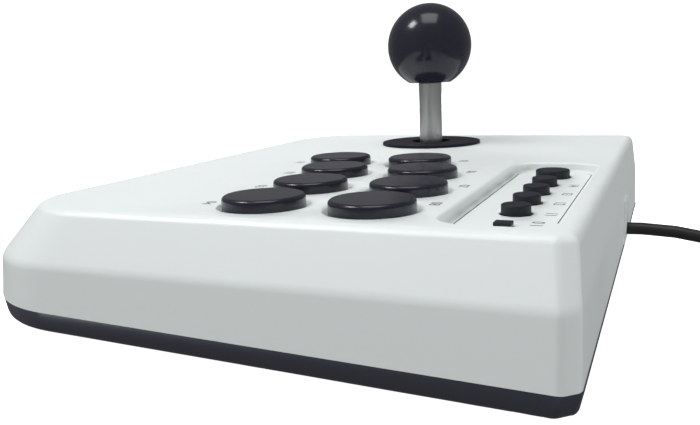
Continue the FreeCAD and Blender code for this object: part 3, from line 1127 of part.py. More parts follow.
coil_ring = cut("coil_ring", about_coil("coil_disc", "dims.coil_outer", COIL_FLOOR, COIL_TOP),
                [about_coil("coil_eye", "dims.coil_inner", "0", f"{COIL_TOP} + {PAST}")])
node(coil_ring, "usb_cable_coil")
band_span = block("band_span", ("dims.coil_x", "dims.coil_x + 2 * dims.coil_outer"),
                  ("dims.coil_y - dims.tie_width / 2", "dims.coil_y + dims.tie_width / 2"),
                  ("0", f"{COIL_TOP} + dims.tie_thickness"), deck=False)
band_disc = about_coil("band_disc", "dims.coil_outer + dims.tie_thickness", "0",
                       f"{COIL_TOP} + dims.tie_thickness")
band_eye = about_coil("band_eye", "dims.coil_inner - dims.tie_thickness", f"-{PAST}",
                      f"{COIL_TOP} + dims.tie_thickness + {PAST}")
band_form = doc.addObject("Part::MultiCommon", "band_form")
band_form.Shapes = [band_disc, band_span]
node(cut("cable_tie_body", band_form, [band_eye, coil_ring]), "cable_tie")

RELIEF = "(dims.coil_x + dims.tail_lead)"
BOOT = f"({RELIEF} + dims.relief_length)"
BOOT_END = f"({BOOT} + dims.plug_length)"
PLUG_Y = "(dims.coil_y + dims.tail_radius)"


def plug_block(name, near, far, width, height):
    """A block about the plug's axis."""
    return block(name, (near, far), (f"{PLUG_Y} - ({width}) / 2", f"{PLUG_Y} + ({width}) / 2"),
                 (f"{LAID} - ({height}) / 2", f"{LAID} + ({height}) / 2"), deck=False)


boot_block = plug_block("boot_block", BOOT, BOOT_END, "dims.plug_width", "dims.plug_height")
soft_boot = rounded("soft_boot", boot_block, lambda edge: edge.BoundBox.XLength > 1, "dims.plug_fillet")
relief = doc.addObject("Part::Cylinder", "relief")
relief.setExpression("Radius", "dims.relief_radius")
relief.setExpression("Height", "dims.relief_length")
relief.Placement = FreeCAD.Placement(FreeCAD.Vector(), FreeCAD.Rotation(FreeCAD.Vector(0, 1, 0), 90))
seat(relief, RELIEF, PLUG_Y, LAID, deck=False)
contact_tongue = plug_block("contact_tongue", BOOT_END, f"{BOOT_END} + dims.tongue_reach",
                            "dims.tongue_width",
                            "dims.tongue_thickness")
node(fuse("plug_boot_body", [soft_boot, relief, contact_tongue]), "plug_boot")
INSIDE = "2 * dims.contact_wall"
contact_block = plug_block("contact_block", BOOT_END, f"{BOOT_END} + dims.contact_length",
                           "dims.contact_width",
                           "dims.contact_height")
contact_room = plug_block("contact_room", f"{BOOT_END} - {PAST}",
                          f"{BOOT_END} + dims.contact_length + {PAST}",
                          f"dims.contact_width - {INSIDE}", f"dims.contact_height - {INSIDE}")
node(cut("plug_shell_body", contact_block, [contact_room]), "plug_shell")

doc.recompute()
for item in doc.Objects:
    if "Invalid" in item.State or "Error" in item.State:
        raise ValueError(item.Label + " was not computed")
for piece in nodes:
    if piece.Shape.isNull() or not piece.Shape.isValid():
        raise ValueError(piece.Label + " is not a valid solid")
os.makedirs("parts", exist_ok=True)
for piece in nodes:
    piece.Shape.exportStep(f"parts/{piece.Label}.step")
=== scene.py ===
"""Looks for a compact ball-top arcade stick, in metres, in the frame of its solids."""
import bmesh
import bpy
import math
from mathutils import Matrix, Vector


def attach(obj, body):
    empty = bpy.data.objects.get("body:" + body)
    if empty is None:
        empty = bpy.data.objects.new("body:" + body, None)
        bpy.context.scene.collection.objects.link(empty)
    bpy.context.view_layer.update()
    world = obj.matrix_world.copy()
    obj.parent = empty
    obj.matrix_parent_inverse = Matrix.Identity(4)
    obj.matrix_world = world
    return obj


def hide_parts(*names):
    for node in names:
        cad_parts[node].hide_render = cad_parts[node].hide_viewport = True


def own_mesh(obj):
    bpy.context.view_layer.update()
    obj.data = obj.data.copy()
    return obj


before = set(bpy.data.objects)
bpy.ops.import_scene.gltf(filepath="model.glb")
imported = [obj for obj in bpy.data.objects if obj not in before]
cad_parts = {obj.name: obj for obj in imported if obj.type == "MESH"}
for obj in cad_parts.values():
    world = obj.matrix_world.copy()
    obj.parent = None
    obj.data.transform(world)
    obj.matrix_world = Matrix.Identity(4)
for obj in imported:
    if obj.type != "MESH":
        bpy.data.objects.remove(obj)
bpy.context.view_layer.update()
scene = bpy.context.scene
scene.view_settings.view_transform = "Standard"


# The studio: a plain pale floor in an evenly white room, with soft lamps on all sides of the case. Most of
# them light it without a mirror image; a panel overhead and a spot beside the key lamp give the glossy pieces
# their gleam. The camera stands off the back right corner of the case.
def linear(code):
    """A colour for a shader from its sRGB hex code."""
    parts = [int(code[i:i + 2], 16) / 255 for i in (1, 3, 5)]
    return [c / 12.92 if c <= 0.04045 else ((c + 0.055) / 1.055) ** 2.4 for c in parts] + [1.0]


def add_node(tree, kind, inputs=None, **settings):
    """A node with its settings; an input given as a socket is linked, any other is set."""
    made = tree.nodes.new(kind)
    for name, value in settings.items():
        setattr(made, name, value)
    for name, value in (inputs or {}).items():
        if isinstance(value, bpy.types.NodeSocket):
            tree.links.new(value, made.inputs[name])
        else:
            made.inputs[name].default_value = value
    return made


def start_material(name, **values):
    """A new material with one shader, its values set on the shader's own sockets."""
    material = bpy.data.materials.new(name)
    material.use_nodes = True
    shader = material.node_tree.nodes["Principled BSDF"]
    for socket, value in values.items():
        shader.inputs[socket.replace("_", " ")].default_value = value
    return material, material.node_tree, shader


# Matt white paint with a glow of its own, so that the floor runs into the room without an edge.
floor_paint, _, _ = start_material("white_floor_paint", Base_Color=linear("#e8e8e8"), Roughness=0.9,
                                   Emission_Color=linear("#ffffff"), Emission_Strength=1.0)
FLOOR_REACH = 20
ground = bmesh.new()
bmesh.ops.create_grid(ground, x_segments=1, y_segments=1, size=FLOOR_REACH)
floor_mesh = bpy.data.meshes.new("floor")
ground.to_mesh(floor_mesh)
ground.free()
floor = bpy.data.objects.new("floor", floor_mesh)
scene.collection.objects.link(floor)
floor_mesh.materials.append(floor_paint)
floor.visible_diffuse = False
floor.visible_glossy = False

# The room is white to the camera, dim in mirror images, and dimmer still as light on the case.
ROOM_SEEN, ROOM_MIRRORED, ROOM_LIGHT = 1.1, 0.17, 0.03
world = bpy.data.worlds.new("white_room")
scene.world = world
world.use_nodes = True
room = world.node_tree
path = add_node(room, "ShaderNodeLightPath").outputs
dim = add_node(room, "ShaderNodeMath", {0: path["Is Glossy Ray"], 1: ROOM_MIRRORED, 2: ROOM_LIGHT},
               operation="MULTIPLY_ADD")
glow = add_node(room, "ShaderNodeMath", {0: path["Is Camera Ray"], 1: ROOM_SEEN, 2: dim.outputs[0]},
                operation="MULTIPLY_ADD")
room.links.new(glow.outputs[0], room.nodes["Background"].inputs["Strength"])
room.nodes["Background"].inputs["Color"].default_value = linear("#ffffff")

LAMP_AIM, LAMP_REACH = Vector((0, 0, 0.03)), 1.2


def soft_lamp(name, bearing, climb, width, height, power, mirrored=False, lights=True):
    """A rectangular soft lamp that faces the case, from degrees, metres and watts."""
    lamp = bpy.data.lights.new(name, "AREA")
    lamp.shape = "RECTANGLE"
    lamp.size, lamp.size_y, lamp.energy = width, height, power
    stand = bpy.data.objects.new(name, lamp)
    bearing, climb = math.radians(bearing), math.radians(climb)
    level = math.cos(climb)
    out = Vector((math.cos(bearing) * level, math.sin(bearing) * level, math.sin(climb)))
    stand.location = LAMP_AIM + out * LAMP_REACH
    stand.rotation_euler = out.to_track_quat("Z", "Y").to_euler()
    stand.visible_glossy, stand.visible_diffuse = mirrored, lights
    scene.collection.objects.link(stand)


# Each lamp has its bearing and climb, its width and height, and its power.
soft_lamp("key_softbox", 315, 52, 0.8, 0.8, 8.8)
soft_lamp("near_lamp", 25, 1.5, 0.6, 0.09, 3.7)
soft_lamp("corner_lamp", 315, 1.5, 0.6, 0.09, 1.6)
soft_lamp("far_softbox", 208, 24, 0.8, 0.5, 12.2)
soft_lamp("back_lamp", 106, 8, 0.6, 0.3, 6.5)
soft_lamp("front_lamp", 270, 54, 0.5, 0.5, 2.6)
soft_lamp("ceiling_panel", 17, 82, 0.66, 0.66, 4.5, mirrored=True)
soft_lamp("key_spot", 301, 52, 0.3, 0.3, 5.0, mirrored=True, lights=False)

# The camera's place in metres and its turns in radians, fitted on the scale of the ball.
CAMERA_AT = (0.250014, 0.097378, 0.072642)
YAW, DIP, ROLL = 3.5443111858, 0.2040532281, -0.0079134758
SENSOR_MM, LENS_MM, NEAREST = 36.0, 38.726, 0.005
ahead = Vector((math.cos(YAW) * math.cos(DIP), math.sin(YAW) * math.cos(DIP), -math.sin(DIP)))
right = ahead.cross(Vector((0, 0, 1))).normalized()
over = right.cross(ahead)
sideways = right * math.cos(ROLL) + over * math.sin(ROLL)
upward = over * math.cos(ROLL) - right * math.sin(ROLL)
turn = Matrix((sideways, upward, -ahead)).transposed().to_4x4()
lens = bpy.data.cameras.new("photo_camera")
lens.sensor_width, lens.lens, lens.clip_start = SENSOR_MM, LENS_MM, NEAREST
camera = bpy.data.objects.new("photo_camera", lens)
camera.matrix_world = Matrix.Translation(CAMERA_AT) @ turn
scene.collection.objects.link(camera)
scene.camera = camera


# The base tray: the lower half of the case, moulded in dark ABS. Its rim meets the white half at the seam,
# where its back lip stands a hair proud, and its floor carries the feet and the screw posts.
def textured(name, grain_mm, depth_mm, strength, rough, **values):
    """A material with a surface grain of a given width and depth, and roughness that follows it."""
    material, tree, shader = start_material(name, **values)
    where = add_node(tree, "ShaderNodeTexCoord").outputs["Object"]
    grain = add_node(tree, "ShaderNodeTexNoise",
                     {"Vector": where, "Scale": 1000 / grain_mm, "Detail": 2.0}).outputs["Fac"]
    bump = add_node(tree, "ShaderNodeBump",
                    {"Height": grain, "Distance": depth_mm / 1000, "Strength": strength})
    spread = add_node(tree, "ShaderNodeMapRange", {"Value": grain, "To Min": rough[0], "To Max": rough[1]})
    tree.links.new(bump.outputs["Normal"], shader.inputs["Normal"])
    tree.links.new(spread.outputs["Result"], shader.inputs["Roughness"])
    return material


def merged(node):
    """A copy of a solid's mesh with its loose triangles joined."""
    copy = bmesh.new()
    copy.from_mesh(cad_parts[node].data)
    bmesh.ops.remove_doubles(copy, verts=copy.verts, dist=2e-6)
    return copy


SHARP_DEGREES = 30


def settle(shape, name, body, material, replaced=()):
    """Turn a finished bmesh into a piece that rides on a body."""
    mesh = bpy.data.meshes.new(name)
    shape.to_mesh(mesh)
    shape.free()
    mesh.shade_smooth()
    mesh.set_sharp_from_angle(angle=math.radians(SHARP_DEGREES))
    mesh.materials.append(material)
    piece = bpy.data.objects.new(name, mesh)
    scene.collection.objects.link(piece)
    even = piece.modifiers.new("even_normals", "WEIGHTED_NORMAL")
    even.keep_sharp = True
    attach(piece, body)
    if replaced:
        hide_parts(*replaced)
    return piece


# Spark-eroded ABS: an even dark grey that breaks up highlights. The real grain is too fine to show, so it is
# drawn at 0.35 mm.
dark_abs = textured("dark_abs_moulded", grain_mm=0.35, depth_mm=0.02, strength=0.25, rough=(0.36, 0.48),
                    Base_Color=linear("#33333d"), IOR=1.5)
BACK_LIP, LIP_OUT = 0.0832, 0.0003
tray = merged("base_tray")
for vert in tray.verts:
    if vert.co.y > BACK_LIP:
        vert.co.y += LIP_OUT
settle(tray, "base_shell", "case", dark_abs, ["base_tray"])


# Four rubber feet: moulded pads of black nitrile, glued into round recesses in the base, with a rounded
# rim so that the case can be slid.
def spun(outline, place, steps=96, rounds=()):
    """A turned form from an outline of radius and height in millimetres.

    Each round is a corner's number in the outline, its radius and its segments.
    """
    shape = bmesh.new()
    line = [shape.verts.new((radius, 0, height)) for radius, height in outline]
    wire = [shape.edges.new(pair) for pair in zip(line, line[1:])]
    bmesh.ops.spin(shape, geom=line + wire, cent=(0, 0, 0), axis=(0, 0, 1), angle=2 * math.pi, steps=steps,
                   use_merge=True)
    bmesh.ops.remove_doubles(shape, verts=shape.verts, dist=0.0005)
    bmesh.ops.recalc_face_normals(shape, faces=shape.faces)
    for corner, radius, segments in rounds:
        reach, height = outline[corner]
        rim = [edge for edge in shape.edges
               if all(abs(v.co.z - height) < 1e-4 and abs(v.co.xy.length - reach) < 1e-3 for v in edge.verts)]
        bmesh.ops.bevel(shape, geom=rim, offset=radius, segments=segments, profile=0.5, affect="EDGES",
                        material=-1)
    bmesh.ops.transform(shape, matrix=place, verts=shape.verts)
    return shape


# Nitrile rubber: a dull black skin with wide, weak highlights.
nitrile = textured("black_nitrile_rubber", grain_mm=0.5, depth_mm=0.03, strength=0.4, rough=(0.7, 0.85),
                   Base_Color=linear("#17171a"), IOR=1.52)
MM = Matrix.Scale(0.001, 4)
foot_spots = [(-82, -58), (82, -58), (-82, 66), (82, 66)]
foot_outline = [(0, 0), (8, 0), (8, 2.1), (0, 2.1)]
for i, (x, y) in enumerate(foot_spots, 1):
    under_base = Matrix.Translation((x / 1000, y / 1000, 0)) @ MM
    pad = spun(foot_outline, under_base, steps=64, rounds=[(1, 0.55, 4)])
    settle(pad, f"foot_pad_{i}", "case", nitrile, [f"rubber_foot_{i}"])


# Screws: self-tapping screws of zinc-plated steel. Those of the case sit deep in their bores under the base;
# the others hold the boards, the panel and the lever inside.
def dress(material, *names):
    """Give solids that stay as they are a finish."""
    for name in names:
        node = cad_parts[name]
        node.data.materials.clear()
        node.data.materials.append(material)


# Zinc plate: bright, and slightly cloudy from the plating bath.
zinc = textured("zinc_plated_steel", grain_mm=0.6, depth_mm=0.01, strength=0.2, rough=(0.26, 0.42),
                Base_Color=linear("#b9b9bb"), Metallic=1.0)
dress(zinc, "case_screws", "board_screws", "panel_screws", "lever_screws")

# Circuit boards: glass-epoxy laminate with etched copper under green solder mask. They are screwed to bosses
# under the deck and the bay.
# Solder mask: a smooth green lacquer, paler over the copper tracks.
solder_mask, tree, shader = start_material("green_solder_mask", IOR=1.5, Roughness=0.35)
TRACK_MM, TRACK_WIDTH = 9.0, 0.03
board_place = add_node(tree, "ShaderNodeTexCoord").outputs["Object"]
tracks = add_node(tree, "ShaderNodeTexBrick",
                  {"Vector": board_place, "Scale": 1000 / TRACK_MM, "Mortar Size": TRACK_WIDTH,
                   "Color1": linear("#0f5a30"), "Color2": linear("#0f5a30"), "Mortar": linear("#1f7a45")})
tree.links.new(tracks.outputs["Color"], shader.inputs["Base Color"])
dress(solder_mask, "main_board", "panel_board", "switch_board")

# Dome sheets under the buttons and keys: moulded in silicone and laid on the boards. Each dome is cut out of
# its sheet as a piece of its own, with a mesh of its own.
# Silicone: milky, with soft edges where light sinks in, under a dull skin.
silicone = textured("grey_silicone", grain_mm=0.8, depth_mm=0.02, strength=0.2, rough=(0.5, 0.62),
                    Base_Color=linear("#9a9c9c"), IOR=1.41, Subsurface_Weight=0.2, Subsurface_Scale=0.002)
DECK_HEIGHT, DECK_SLOPE = 0.0356, 1.84
DECK = Matrix.Translation((0, 0, DECK_HEIGHT)) @ Matrix.Rotation(math.radians(DECK_SLOPE), 4, "X")
DECK_TURN = DECK.to_3x3()
ROW_STEP, KEY_ROW, KEY_RADIUS, HOME_RADIUS = 29.7, 64.0, 3.65, 5.22
button_spots = [(4.1, -10.8), (29.5, -1.8), (57.2, 3.0), (84.7, 3.1)]
button_spots += [(x, y + ROW_STEP) for x, y in button_spots]
key_spots = [("key_1", 68.1, KEY_RADIUS), ("key_2", 53.33, KEY_RADIUS), ("key_3", 38.56, KEY_RADIUS),
             ("key_4", 23.79, KEY_RADIUS), ("home_key", 7.35, HOME_RADIUS)]
key_places = [(x, KEY_ROW) for _, x, _ in key_spots]


def soft_dome(sheet, cap, spots, place):
    """The part of a dome sheet that is nearest to one cap, as a piece of its own."""
    dome = merged(sheet)
    for other in spots:
        if other != place:
            # The plane halfway between the two, in metres.
            halfway, away = (Vector(place) + Vector(other)) / 2000, Vector(other) - Vector(place)
            bmesh.ops.bisect_plane(dome, geom=dome.verts[:] + dome.edges[:] + dome.faces[:], dist=1e-6,
                                   plane_co=DECK @ halfway.to_3d(), plane_no=DECK_TURN @ away.to_3d(),
                                   clear_outer=True)
            bmesh.ops.holes_fill(dome, edges=[edge for edge in dome.edges if edge.is_boundary])
    piece = settle(dome, cap + "_dome", "case", silicone, [sheet])
    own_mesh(piece)


for i, place in enumerate(button_spots, 1):
    soft_dome("button_dome_mat", f"button_{i}", button_spots, place)
for (label, _, _), place in zip(key_spots, key_places):
    soft_dome("key_dome_strip", label, key_places, place)

# Lever mechanism: housing, actuator, switches and gate plate of black nylon, screwed up under the deck. The
# body of the slide switch is of the same nylon.
# Moulded nylon: even and slightly waxy, straight from the mould.
nylon = textured("black_nylon_moulded", grain_mm=0.5, depth_mm=0.02, strength=0.25, rough=(0.4, 0.55),
                 Base_Color=linear("#303034"), IOR=1.53)
dress(nylon, "lever_housing", "lever_actuator", "lever_switches", "mode_switch", "gate_plate")

# The top shell: the white half of the case, moulded in ABS, with the buttons' sunk rings, the panel's bay and
# a low pad round the cable moulded in. Screws from below hold it to the base.
# Satin ABS: clean white with soft highlights. The grain, too fine to show, is drawn at 0.45 mm.
white_abs = textured("white_abs_moulded", grain_mm=0.45, depth_mm=0.012, strength=0.18, rough=(0.3, 0.4),
                     Base_Color=linear("#e6eceb"), IOR=1.53)
PAD_FROM, PAD_FOOT, PAD_SHARE = 0.0855, 0.0853, 0.2
shell = merged("top_shell")
for vert in shell.verts:
    if vert.co.y > PAD_FROM:
        vert.co.y = PAD_FOOT + PAD_SHARE * (vert.co.y - PAD_FOOT)
settle(shell, "top_cover", "case", white_abs, ["top_shell"])

# The control panel: a thin plate let into the floor of the bay, of the same ABS as the case. A strip of black
# rubber colour lies in the gap round three of its sides as painted shade: it stands for the gap's shadow, a
# dark hairline.
settle(merged("control_panel"), "panel_plate", "case", white_abs, ["control_panel"])


def only(kind, geom):
    """The elements of one kind in what an operator gives back."""
    return [item for item in geom if isinstance(item, kind)]


EDGE, GAP, THICK = 0.004, 0.00023, 0.0002
LEVEL, UPRIGHT = 2e-5, 0.5
# Painted shade: a dark strip set in the gap beside the plate, where the gap's own shadow would be.
gap_shade = merged("control_panel")
low, high = (Vector(pick(v.co[axis] for v in gap_shade.verts) for axis in range(3)) for pick in (min, max))
centre, half = (low + high) / 2, (high - low) / 2
from_deck = DECK.inverted()
top = max((from_deck @ v.co).z for v in gap_shade.verts)
plate_faces = gap_shade.faces[:]
gap_edges = []
for edge in gap_shade.edges:
    spot = (edge.verts[0].co + edge.verts[1].co) / 2
    flush = all((from_deck @ v.co).z > top - LEVEL for v in edge.verts)
    walled = any(abs(face.normal.z) < UPRIGHT for face in edge.link_faces)
    outer = spot.y < low.y + EDGE or spot.y > high.y - EDGE or spot.x < low.x + EDGE
    if flush and walled and outer and spot.x < high.x - EDGE / 2:
        gap_edges.append(edge)
for vert in only(bmesh.types.BMVert, bmesh.ops.extrude_edge_only(gap_shade, edges=gap_edges)["geom"]):
    vert.co.x += GAP * (vert.co.x - centre.x) / half.x
    vert.co.y += GAP * (vert.co.y - centre.y) / half.y
bmesh.ops.delete(gap_shade, geom=plate_faces, context="FACES")
bmesh.ops.recalc_face_normals(gap_shade, faces=gap_shade.faces)
bmesh.ops.translate(gap_shade, vec=(0, 0, -LEVEL), verts=gap_shade.verts)
bmesh.ops.solidify(gap_shade, geom=gap_shade.faces[:], thickness=THICK)
settle(gap_shade, "panel_gap_shade", "case", nitrile)


# Keys and the slide switch's knob: moulded caps with a soft-touch coat, in holes in the panel with a narrow
# dark gap round them. A flange under the panel keeps each key in.
def on_deck(x, y, height=0):
    """A place on the sloping deck, for a form in millimetres."""
    return DECK @ Matrix.Translation((x / 1000, y / 1000, height / 1000)) @ MM


# Soft-touch coat: near-black and matt, with hardly a highlight.
soft_touch = textured("soft_touch_plastic", grain_mm=0.3, depth_mm=0.015, strength=0.3, rough=(0.5, 0.62),
                      Base_Color=linear("#1c1d26"), IOR=1.4)
KEY_TOP, FLANGE_TOP, FLANGE_FOOT, KEY_FOOT = -0.46, -4.5, -5.5, -8.6
FLANGE_OUT, KEY_POST = 1.2, 1.8
for label, x, radius in key_spots:
    flange = radius + FLANGE_OUT
    key_outline = [(0, KEY_TOP), (radius, KEY_TOP), (radius, FLANGE_TOP), (flange, FLANGE_TOP),
                   (flange, FLANGE_FOOT), (KEY_POST, FLANGE_FOOT), (KEY_POST, KEY_FOOT), (0, KEY_FOOT)]
    cap = spun(key_outline, on_deck(x, KEY_ROW), steps=72, rounds=[(1, 0.4, 4)])
    settle(cap, label + "_cap", label, soft_touch, [label])
KNOB_ROUND = 0.00015
knob = merged("mode_knob")
bmesh.ops.dissolve_limit(knob, angle_limit=0.01, verts=knob.verts, edges=knob.edges)
bmesh.ops.bevel(knob, geom=knob.edges, offset=KNOB_ROUND, segments=2, profile=0.5, affect="EDGES",
                material=-1)
settle(knob, "slide_knob", "mode_knob", soft_touch, ["mode_knob"])

# Push buttons: hollow caps moulded in dark ABS, each in a guide tube with a sunk white ring round it. Its
# flange keeps it in the tube, and a post under its roof presses the dome.
# Glossy ABS: almost black, with a clear bright line along the rounded rim.
gloss_abs = textured("glossy_dark_abs", grain_mm=2.2, depth_mm=0.008, strength=0.12, rough=(0.2, 0.26),
                     Base_Color=linear("#1c1c28"), IOR=1.5)
button_outline = [(0, 2.87), (10.76, 2.87), (10.76, -9), (12.4, -9), (12.4, -10.4), (9.16, -10.4),
                  (9.16, 1.27), (3, 1.27), (3, -12.5), (0, -12.5)]
for i, (x, y) in enumerate(button_spots, 1):
    cap = spun(button_outline, on_deck(x, y), steps=128, rounds=[(1, 1.1, 6)])
    settle(cap, f"button_cap_{i}", f"button_{i}", gloss_abs, [f"button_{i}"])

# Printed numbers: grey ink, pad-printed flat on the deck and the panel, one beside each button and four of
# the keys, and two for the slide switch.
# Pad-print ink: a film so thin that only its flat grey shows.
ink = textured("grey_pad_print_ink", grain_mm=0.4, depth_mm=0.004, strength=0.1, rough=(0.5, 0.6),
               Base_Color=linear("#3f4444"), IOR=1.5)
LETTER_SIZE, FILM, FILM_LIFT, PANEL_LEVEL = 4.2, 0.01, 0.015, -3
FRONT_X, FRONT_Y, REAR_X, REAR_Y, KEY_X, KEY_Y = 0.4, -16.4, -10, 12.7, -0.8, 72.2
labels = [(f"{i:02d}", x + FRONT_X, y + FRONT_Y, 0) for i, (x, y) in enumerate(button_spots[:4], 1)]
labels += [(f"{i:02d}", x + REAR_X, y + REAR_Y, 0) for i, (x, y) in enumerate(button_spots[4:], 5)]
labels += [(f"{i:02d}", x + KEY_X, KEY_Y, PANEL_LEVEL) for i, (_, x, _) in enumerate(key_spots[:4], 11)]
SWITCH_X, SWITCH_Y = 79, 70.8
labels.append(("0 1", SWITCH_X, SWITCH_Y, PANEL_LEVEL))
film = bmesh.new()
for words, x, y, height in labels:
    letters = bpy.data.curves.new("letters", "FONT")
    letters.body, letters.size, letters.extrude = words, LETTER_SIZE, FILM
    letters.align_x = letters.align_y = "CENTER"
    writer = bpy.data.objects.new("letters", letters)
    flat = bpy.data.meshes.new_from_object(writer)
    flat.transform(on_deck(x, y, height + FILM_LIFT))
    film.from_mesh(flat)
    bpy.data.objects.remove(writer)
    bpy.data.curves.remove(letters)
    bpy.data.meshes.remove(flat)
settle(film, "printed_numbers", "case", ink)

# The lever's bearing: a gimbal ring turned from steel, and a black rubber seat in the deck's hole. The seat
# centres the shaft, and is flared so that the shaft can lean in it.
# Turned steel: satin, with fine rings that stretch its highlights. The marks are drawn coarse, at 0.3 mm.
turned_steel, tree, shader = start_material("satin_turned_steel", Base_Color=linear("#cfcfcf"), Metallic=1.0)
MARK_LENGTH, MARK_WIDTH = 25, 0.3
around, along = 1000 / MARK_LENGTH, 1000 / MARK_WIDTH
steel_place = add_node(tree, "ShaderNodeTexCoord").outputs["Object"]
stretch = add_node(tree, "ShaderNodeMapping", {"Vector": steel_place, "Scale": (around, around, along)})
marks = add_node(tree, "ShaderNodeTexNoise",
                 {"Vector": stretch.outputs["Vector"], "Scale": 1.0, "Detail": 3.0})
polish = add_node(tree, "ShaderNodeMapRange", {"Value": marks.outputs["Fac"], "To Min": 0.24, "To Max": 0.4})
tree.links.new(polish.outputs["Result"], shader.inputs["Roughness"])
dress(turned_steel, "gimbal_ring")
LEVER_X, LEVER_Y = -62.8, 2.5
LEVER = on_deck(LEVER_X, LEVER_Y)
seat_outline = [(7, -8.5), (8.9, -8.5), (8.9, -5.5), (11, -5.5), (11, -4.3), (8, -4.3), (8, 0.4), (7.75, 0.4),
                (6.6, -7.5), (7, -8.5)]
settle(spun(seat_outline, LEVER), "shaft_seat", "case", nitrile, ["centring_grommet"])

# Switch blades: four leaves of plated spring steel, one on each microswitch under the lever. Each is cut out
# as a piece of its own, with a mesh of its own.
SWITCH_FACE, LEAF_GIVE, LEAF_FROM = 9.0, 0.36, 6
from_lever = LEVER.inverted()
for side, x, y in (("right", 1, 0), ("left", -1, 0), ("back", 0, 1), ("front", 0, -1)):
    leaf, toward = merged("switch_blades"), Vector((x, y, 0))
    others = [face for face in leaf.faces if (from_lever @ face.calc_center_median()).dot(toward) < LEAF_FROM]
    bmesh.ops.delete(leaf, geom=others, context="FACES")
    blade = settle(leaf, f"switch_blade_{side}", "case", zinc, ["switch_blades"])
    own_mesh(blade)

# The lever's shaft: one bar of steel turned to a satin finish, with a stud for the ball at its upper end. A
# cross pin pressed through its hub hangs it in the gimbal ring.
stem_outline = [(0, 39), (2.9, 39), (2.9, 26), (4.83, 26), (4.83, -9), (6.8, -9), (6.8, -17), (4.2, -17),
                (4.2, -21.9), (3, -21.9), (3, -29.4), (0, -29.4)]
PIN_RADIUS, PIN_LENGTH, PIN_HEIGHT = 1.6, 25.6, -13
stem = spun(stem_outline, LEVER, rounds=[(3, 0.4, 3)])
pin = bmesh.new()
bmesh.ops.create_cone(pin, cap_ends=True, segments=32, radius1=PIN_RADIUS, radius2=PIN_RADIUS,
                      depth=PIN_LENGTH,
                      matrix=Matrix.Translation((0, 0, PIN_HEIGHT)) @ Matrix.Rotation(math.pi / 2, 4, "X"))
bmesh.ops.transform(pin, matrix=LEVER, verts=pin.verts)
pin_mesh = bpy.data.meshes.new("pin")
pin.to_mesh(pin_mesh)
pin.free()
stem.from_mesh(pin_mesh)
settle(stem, "lever_stem", "lever", turned_steel, ["lever_shaft"])

# The dust washer: a disc punched from black nylon sheet that lies flat on the deck round the shaft and keeps
# dirt out of the seat.
# Pressed sheet: darker and more matt than the moulded nylon, so that the disc stays even under the lamps.
pressed_sheet = textured("pressed_nylon_sheet", grain_mm=0.5, depth_mm=0.02, strength=0.25, rough=(0.45, 0.6),
                         Base_Color=linear("#1b1b25"), IOR=1.25)
washer_outline = [(8.2, 0), (8.2, 1.2), (20.8, 1.2), (20.8, 0), (8.2, 0)]
washer = spun(washer_outline, LEVER, steps=128, rounds=[(2, 0.3, 3)])
settle(washer, "washer_disc", "case", pressed_sheet, ["dust_washer"])

# The ball: cast phenolic resin, turned and polished. It has a flat and a bore underneath, and screws on the
# shaft's stud.
# Polished phenolic: deep grey-black, with a small clear highlight and a faint ripple from the polishing.
phenolic = textured("polished_phenolic", grain_mm=3.0, depth_mm=0.005, strength=0.1, rough=(0.16, 0.2),
                    Base_Color=linear("#22232d"), IOR=1.42)
BALL_RADIUS, BALL_HEIGHT, BALL_FLAT, BORE_RADIUS, BORE_DEPTH = 17.5, 41.2, 15.2, 2.96, 14
ball = bmesh.new()
bmesh.ops.create_uvsphere(ball, u_segments=128, v_segments=96, radius=BALL_RADIUS,
                          matrix=Matrix.Translation((0, 0, BALL_HEIGHT)))
cut = bmesh.ops.bisect_plane(ball, geom=ball.verts[:] + ball.edges[:] + ball.faces[:], dist=1e-5,
                             plane_co=(0, 0, BALL_HEIGHT - BALL_FLAT), plane_no=(0, 0, -1), clear_outer=True)
flat_ring = only(bmesh.types.BMEdge, cut["geom_cut"])
mouth = bmesh.ops.extrude_edge_only(ball, edges=flat_ring)["geom"]
for vert in only(bmesh.types.BMVert, mouth):
    vert.co.xy *= BORE_RADIUS / vert.co.xy.length
bore = bmesh.ops.extrude_edge_only(ball, edges=only(bmesh.types.BMEdge, mouth))["geom"]
bmesh.ops.translate(ball, vec=(0, 0, BORE_DEPTH), verts=only(bmesh.types.BMVert, bore))
bmesh.ops.contextual_create(ball, geom=only(bmesh.types.BMEdge, bore))
bmesh.ops.recalc_face_normals(ball, faces=ball.faces)
bmesh.ops.transform(ball, matrix=LEVER, verts=ball.verts)
settle(ball, "ball_knob", "lever", phenolic, ["ball_top"])

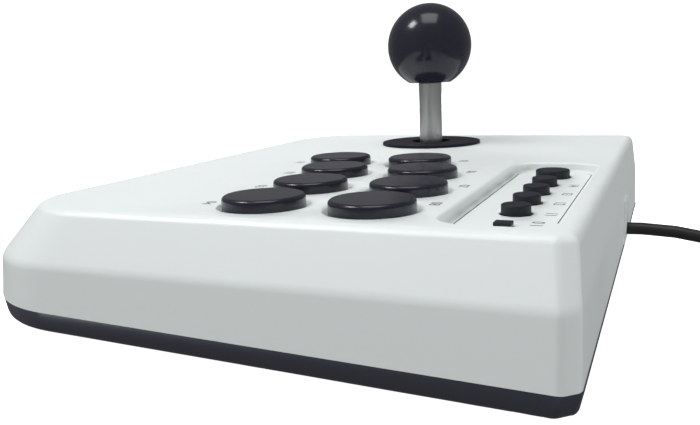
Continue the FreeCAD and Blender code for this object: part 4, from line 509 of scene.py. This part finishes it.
# The cable: a round USB lead that leaves the pad at the back through a grommet, drops to the floor and is
# wound into a neat coil out of view, four turns to a layer, with its plug end laid on top.
# PVC jacket: black and half matt, with a slight unevenness from the extruder.
pvc = textured("black_pvc_jacket", grain_mm=1.2, depth_mm=0.02, strength=0.2, rough=(0.42, 0.55),
               Base_Color=linear("#1a1a1b"), IOR=1.53)
dress(pvc, "cable_grommet")
WIRE, WIRE_RADIUS, LYING = 4.3, 0.00215, 2.95
COIL_X, COIL_Y, COIL_INNER, COIL_OUTER = 2.1, 152.0, 16.76, 33.1
COIL_STEPS, PER_TURN, LAYER_TURNS, LIFT_TURNS, CREEP = 430, 24, 3.8, 0.324, 1.0065
route = [(-31, 78.0, 11.2), (-31, 105.0, 13.6), (-31, 131.0, LYING), (-31, 149.0, LYING)]
for step in range(1, COIL_STEPS + 1):
    turns = step / PER_TURN
    layer, part = divmod(turns, LAYER_TURNS + LIFT_TURNS)
    across = WIRE * min(part, LAYER_TURNS)
    reach = CREEP * (COIL_INNER + across if layer % 2 else COIL_OUTER - across)
    rise = max(part - LAYER_TURNS, 0.0) / LIFT_TURNS
    angle = math.pi - 2 * math.pi * turns
    route.append((COIL_X + reach * math.cos(angle), COIL_Y + reach * math.sin(angle),
                  LYING + WIRE * (layer + rise * rise * (3 - 2 * rise))))
# The last quarter turn climbs on the coil and ends in the plug.
TAIL_REACH, TAIL_LEAD, TAIL_START, TAIL_END = 26, 6.4, 20.7, 26.4
tail_corner = TAIL_REACH / math.cos(math.radians(15))
route.append((COIL_X - TAIL_REACH, COIL_Y - TAIL_LEAD, TAIL_START))
for degrees, height in ((165, 22.6), (135, 24.5), (105, TAIL_END)):
    angle = math.radians(degrees)
    route.append((COIL_X + tail_corner * math.cos(angle), COIL_Y + tail_corner * math.sin(angle), height))
route.append((COIL_X + TAIL_LEAD, COIL_Y + TAIL_REACH, TAIL_END))
lead_curve = bpy.data.curves.new("usb_lead", "CURVE")
lead_curve.dimensions = "3D"
lead_curve.bevel_depth = WIRE_RADIUS
lead_curve.bevel_resolution = 5
lead_curve.resolution_u = 4
lead_curve.use_fill_caps = True
spline = lead_curve.splines.new("NURBS")
spline.points.add(len(route) - 1)
for point, (x, y, z) in zip(spline.points, route):
    point.co = (x / 1000, y / 1000, z / 1000, 1)
spline.order_u = 3
spline.use_endpoint_u = True
spline.resolution_u = 4
lead_curve.materials.append(pvc)
lead = bpy.data.objects.new("usb_lead", lead_curve)
scene.collection.objects.link(lead)
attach(lead, "case")
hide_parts("usb_cable", "usb_cable_coil", "usb_cable_tail")

# The tie and the plug: a black rubber band round the coil, a moulded PVC boot with a short strain relief,
# and a folded steel shell. The put-away length throws no shade or mirror image on the back wall.
band = settle(merged("cable_tie"), "coil_band", "case", nitrile, ["cable_tie"])
boot = settle(merged("plug_boot"), "plug_boot_cover", "case", pvc, ["plug_boot"])
# Nickel plate: a warm, bright, almost mirror-like metal.
nickel = textured("nickel_plated_steel", grain_mm=0.8, depth_mm=0.006, strength=0.15, rough=(0.14, 0.24),
                  Base_Color=linear("#c9c6c0"), Metallic=1.0)
dress(nickel, "plug_shell")
for put_away in (lead, band, boot):
    put_away.visible_glossy = put_away.visible_diffuse = put_away.visible_shadow = False
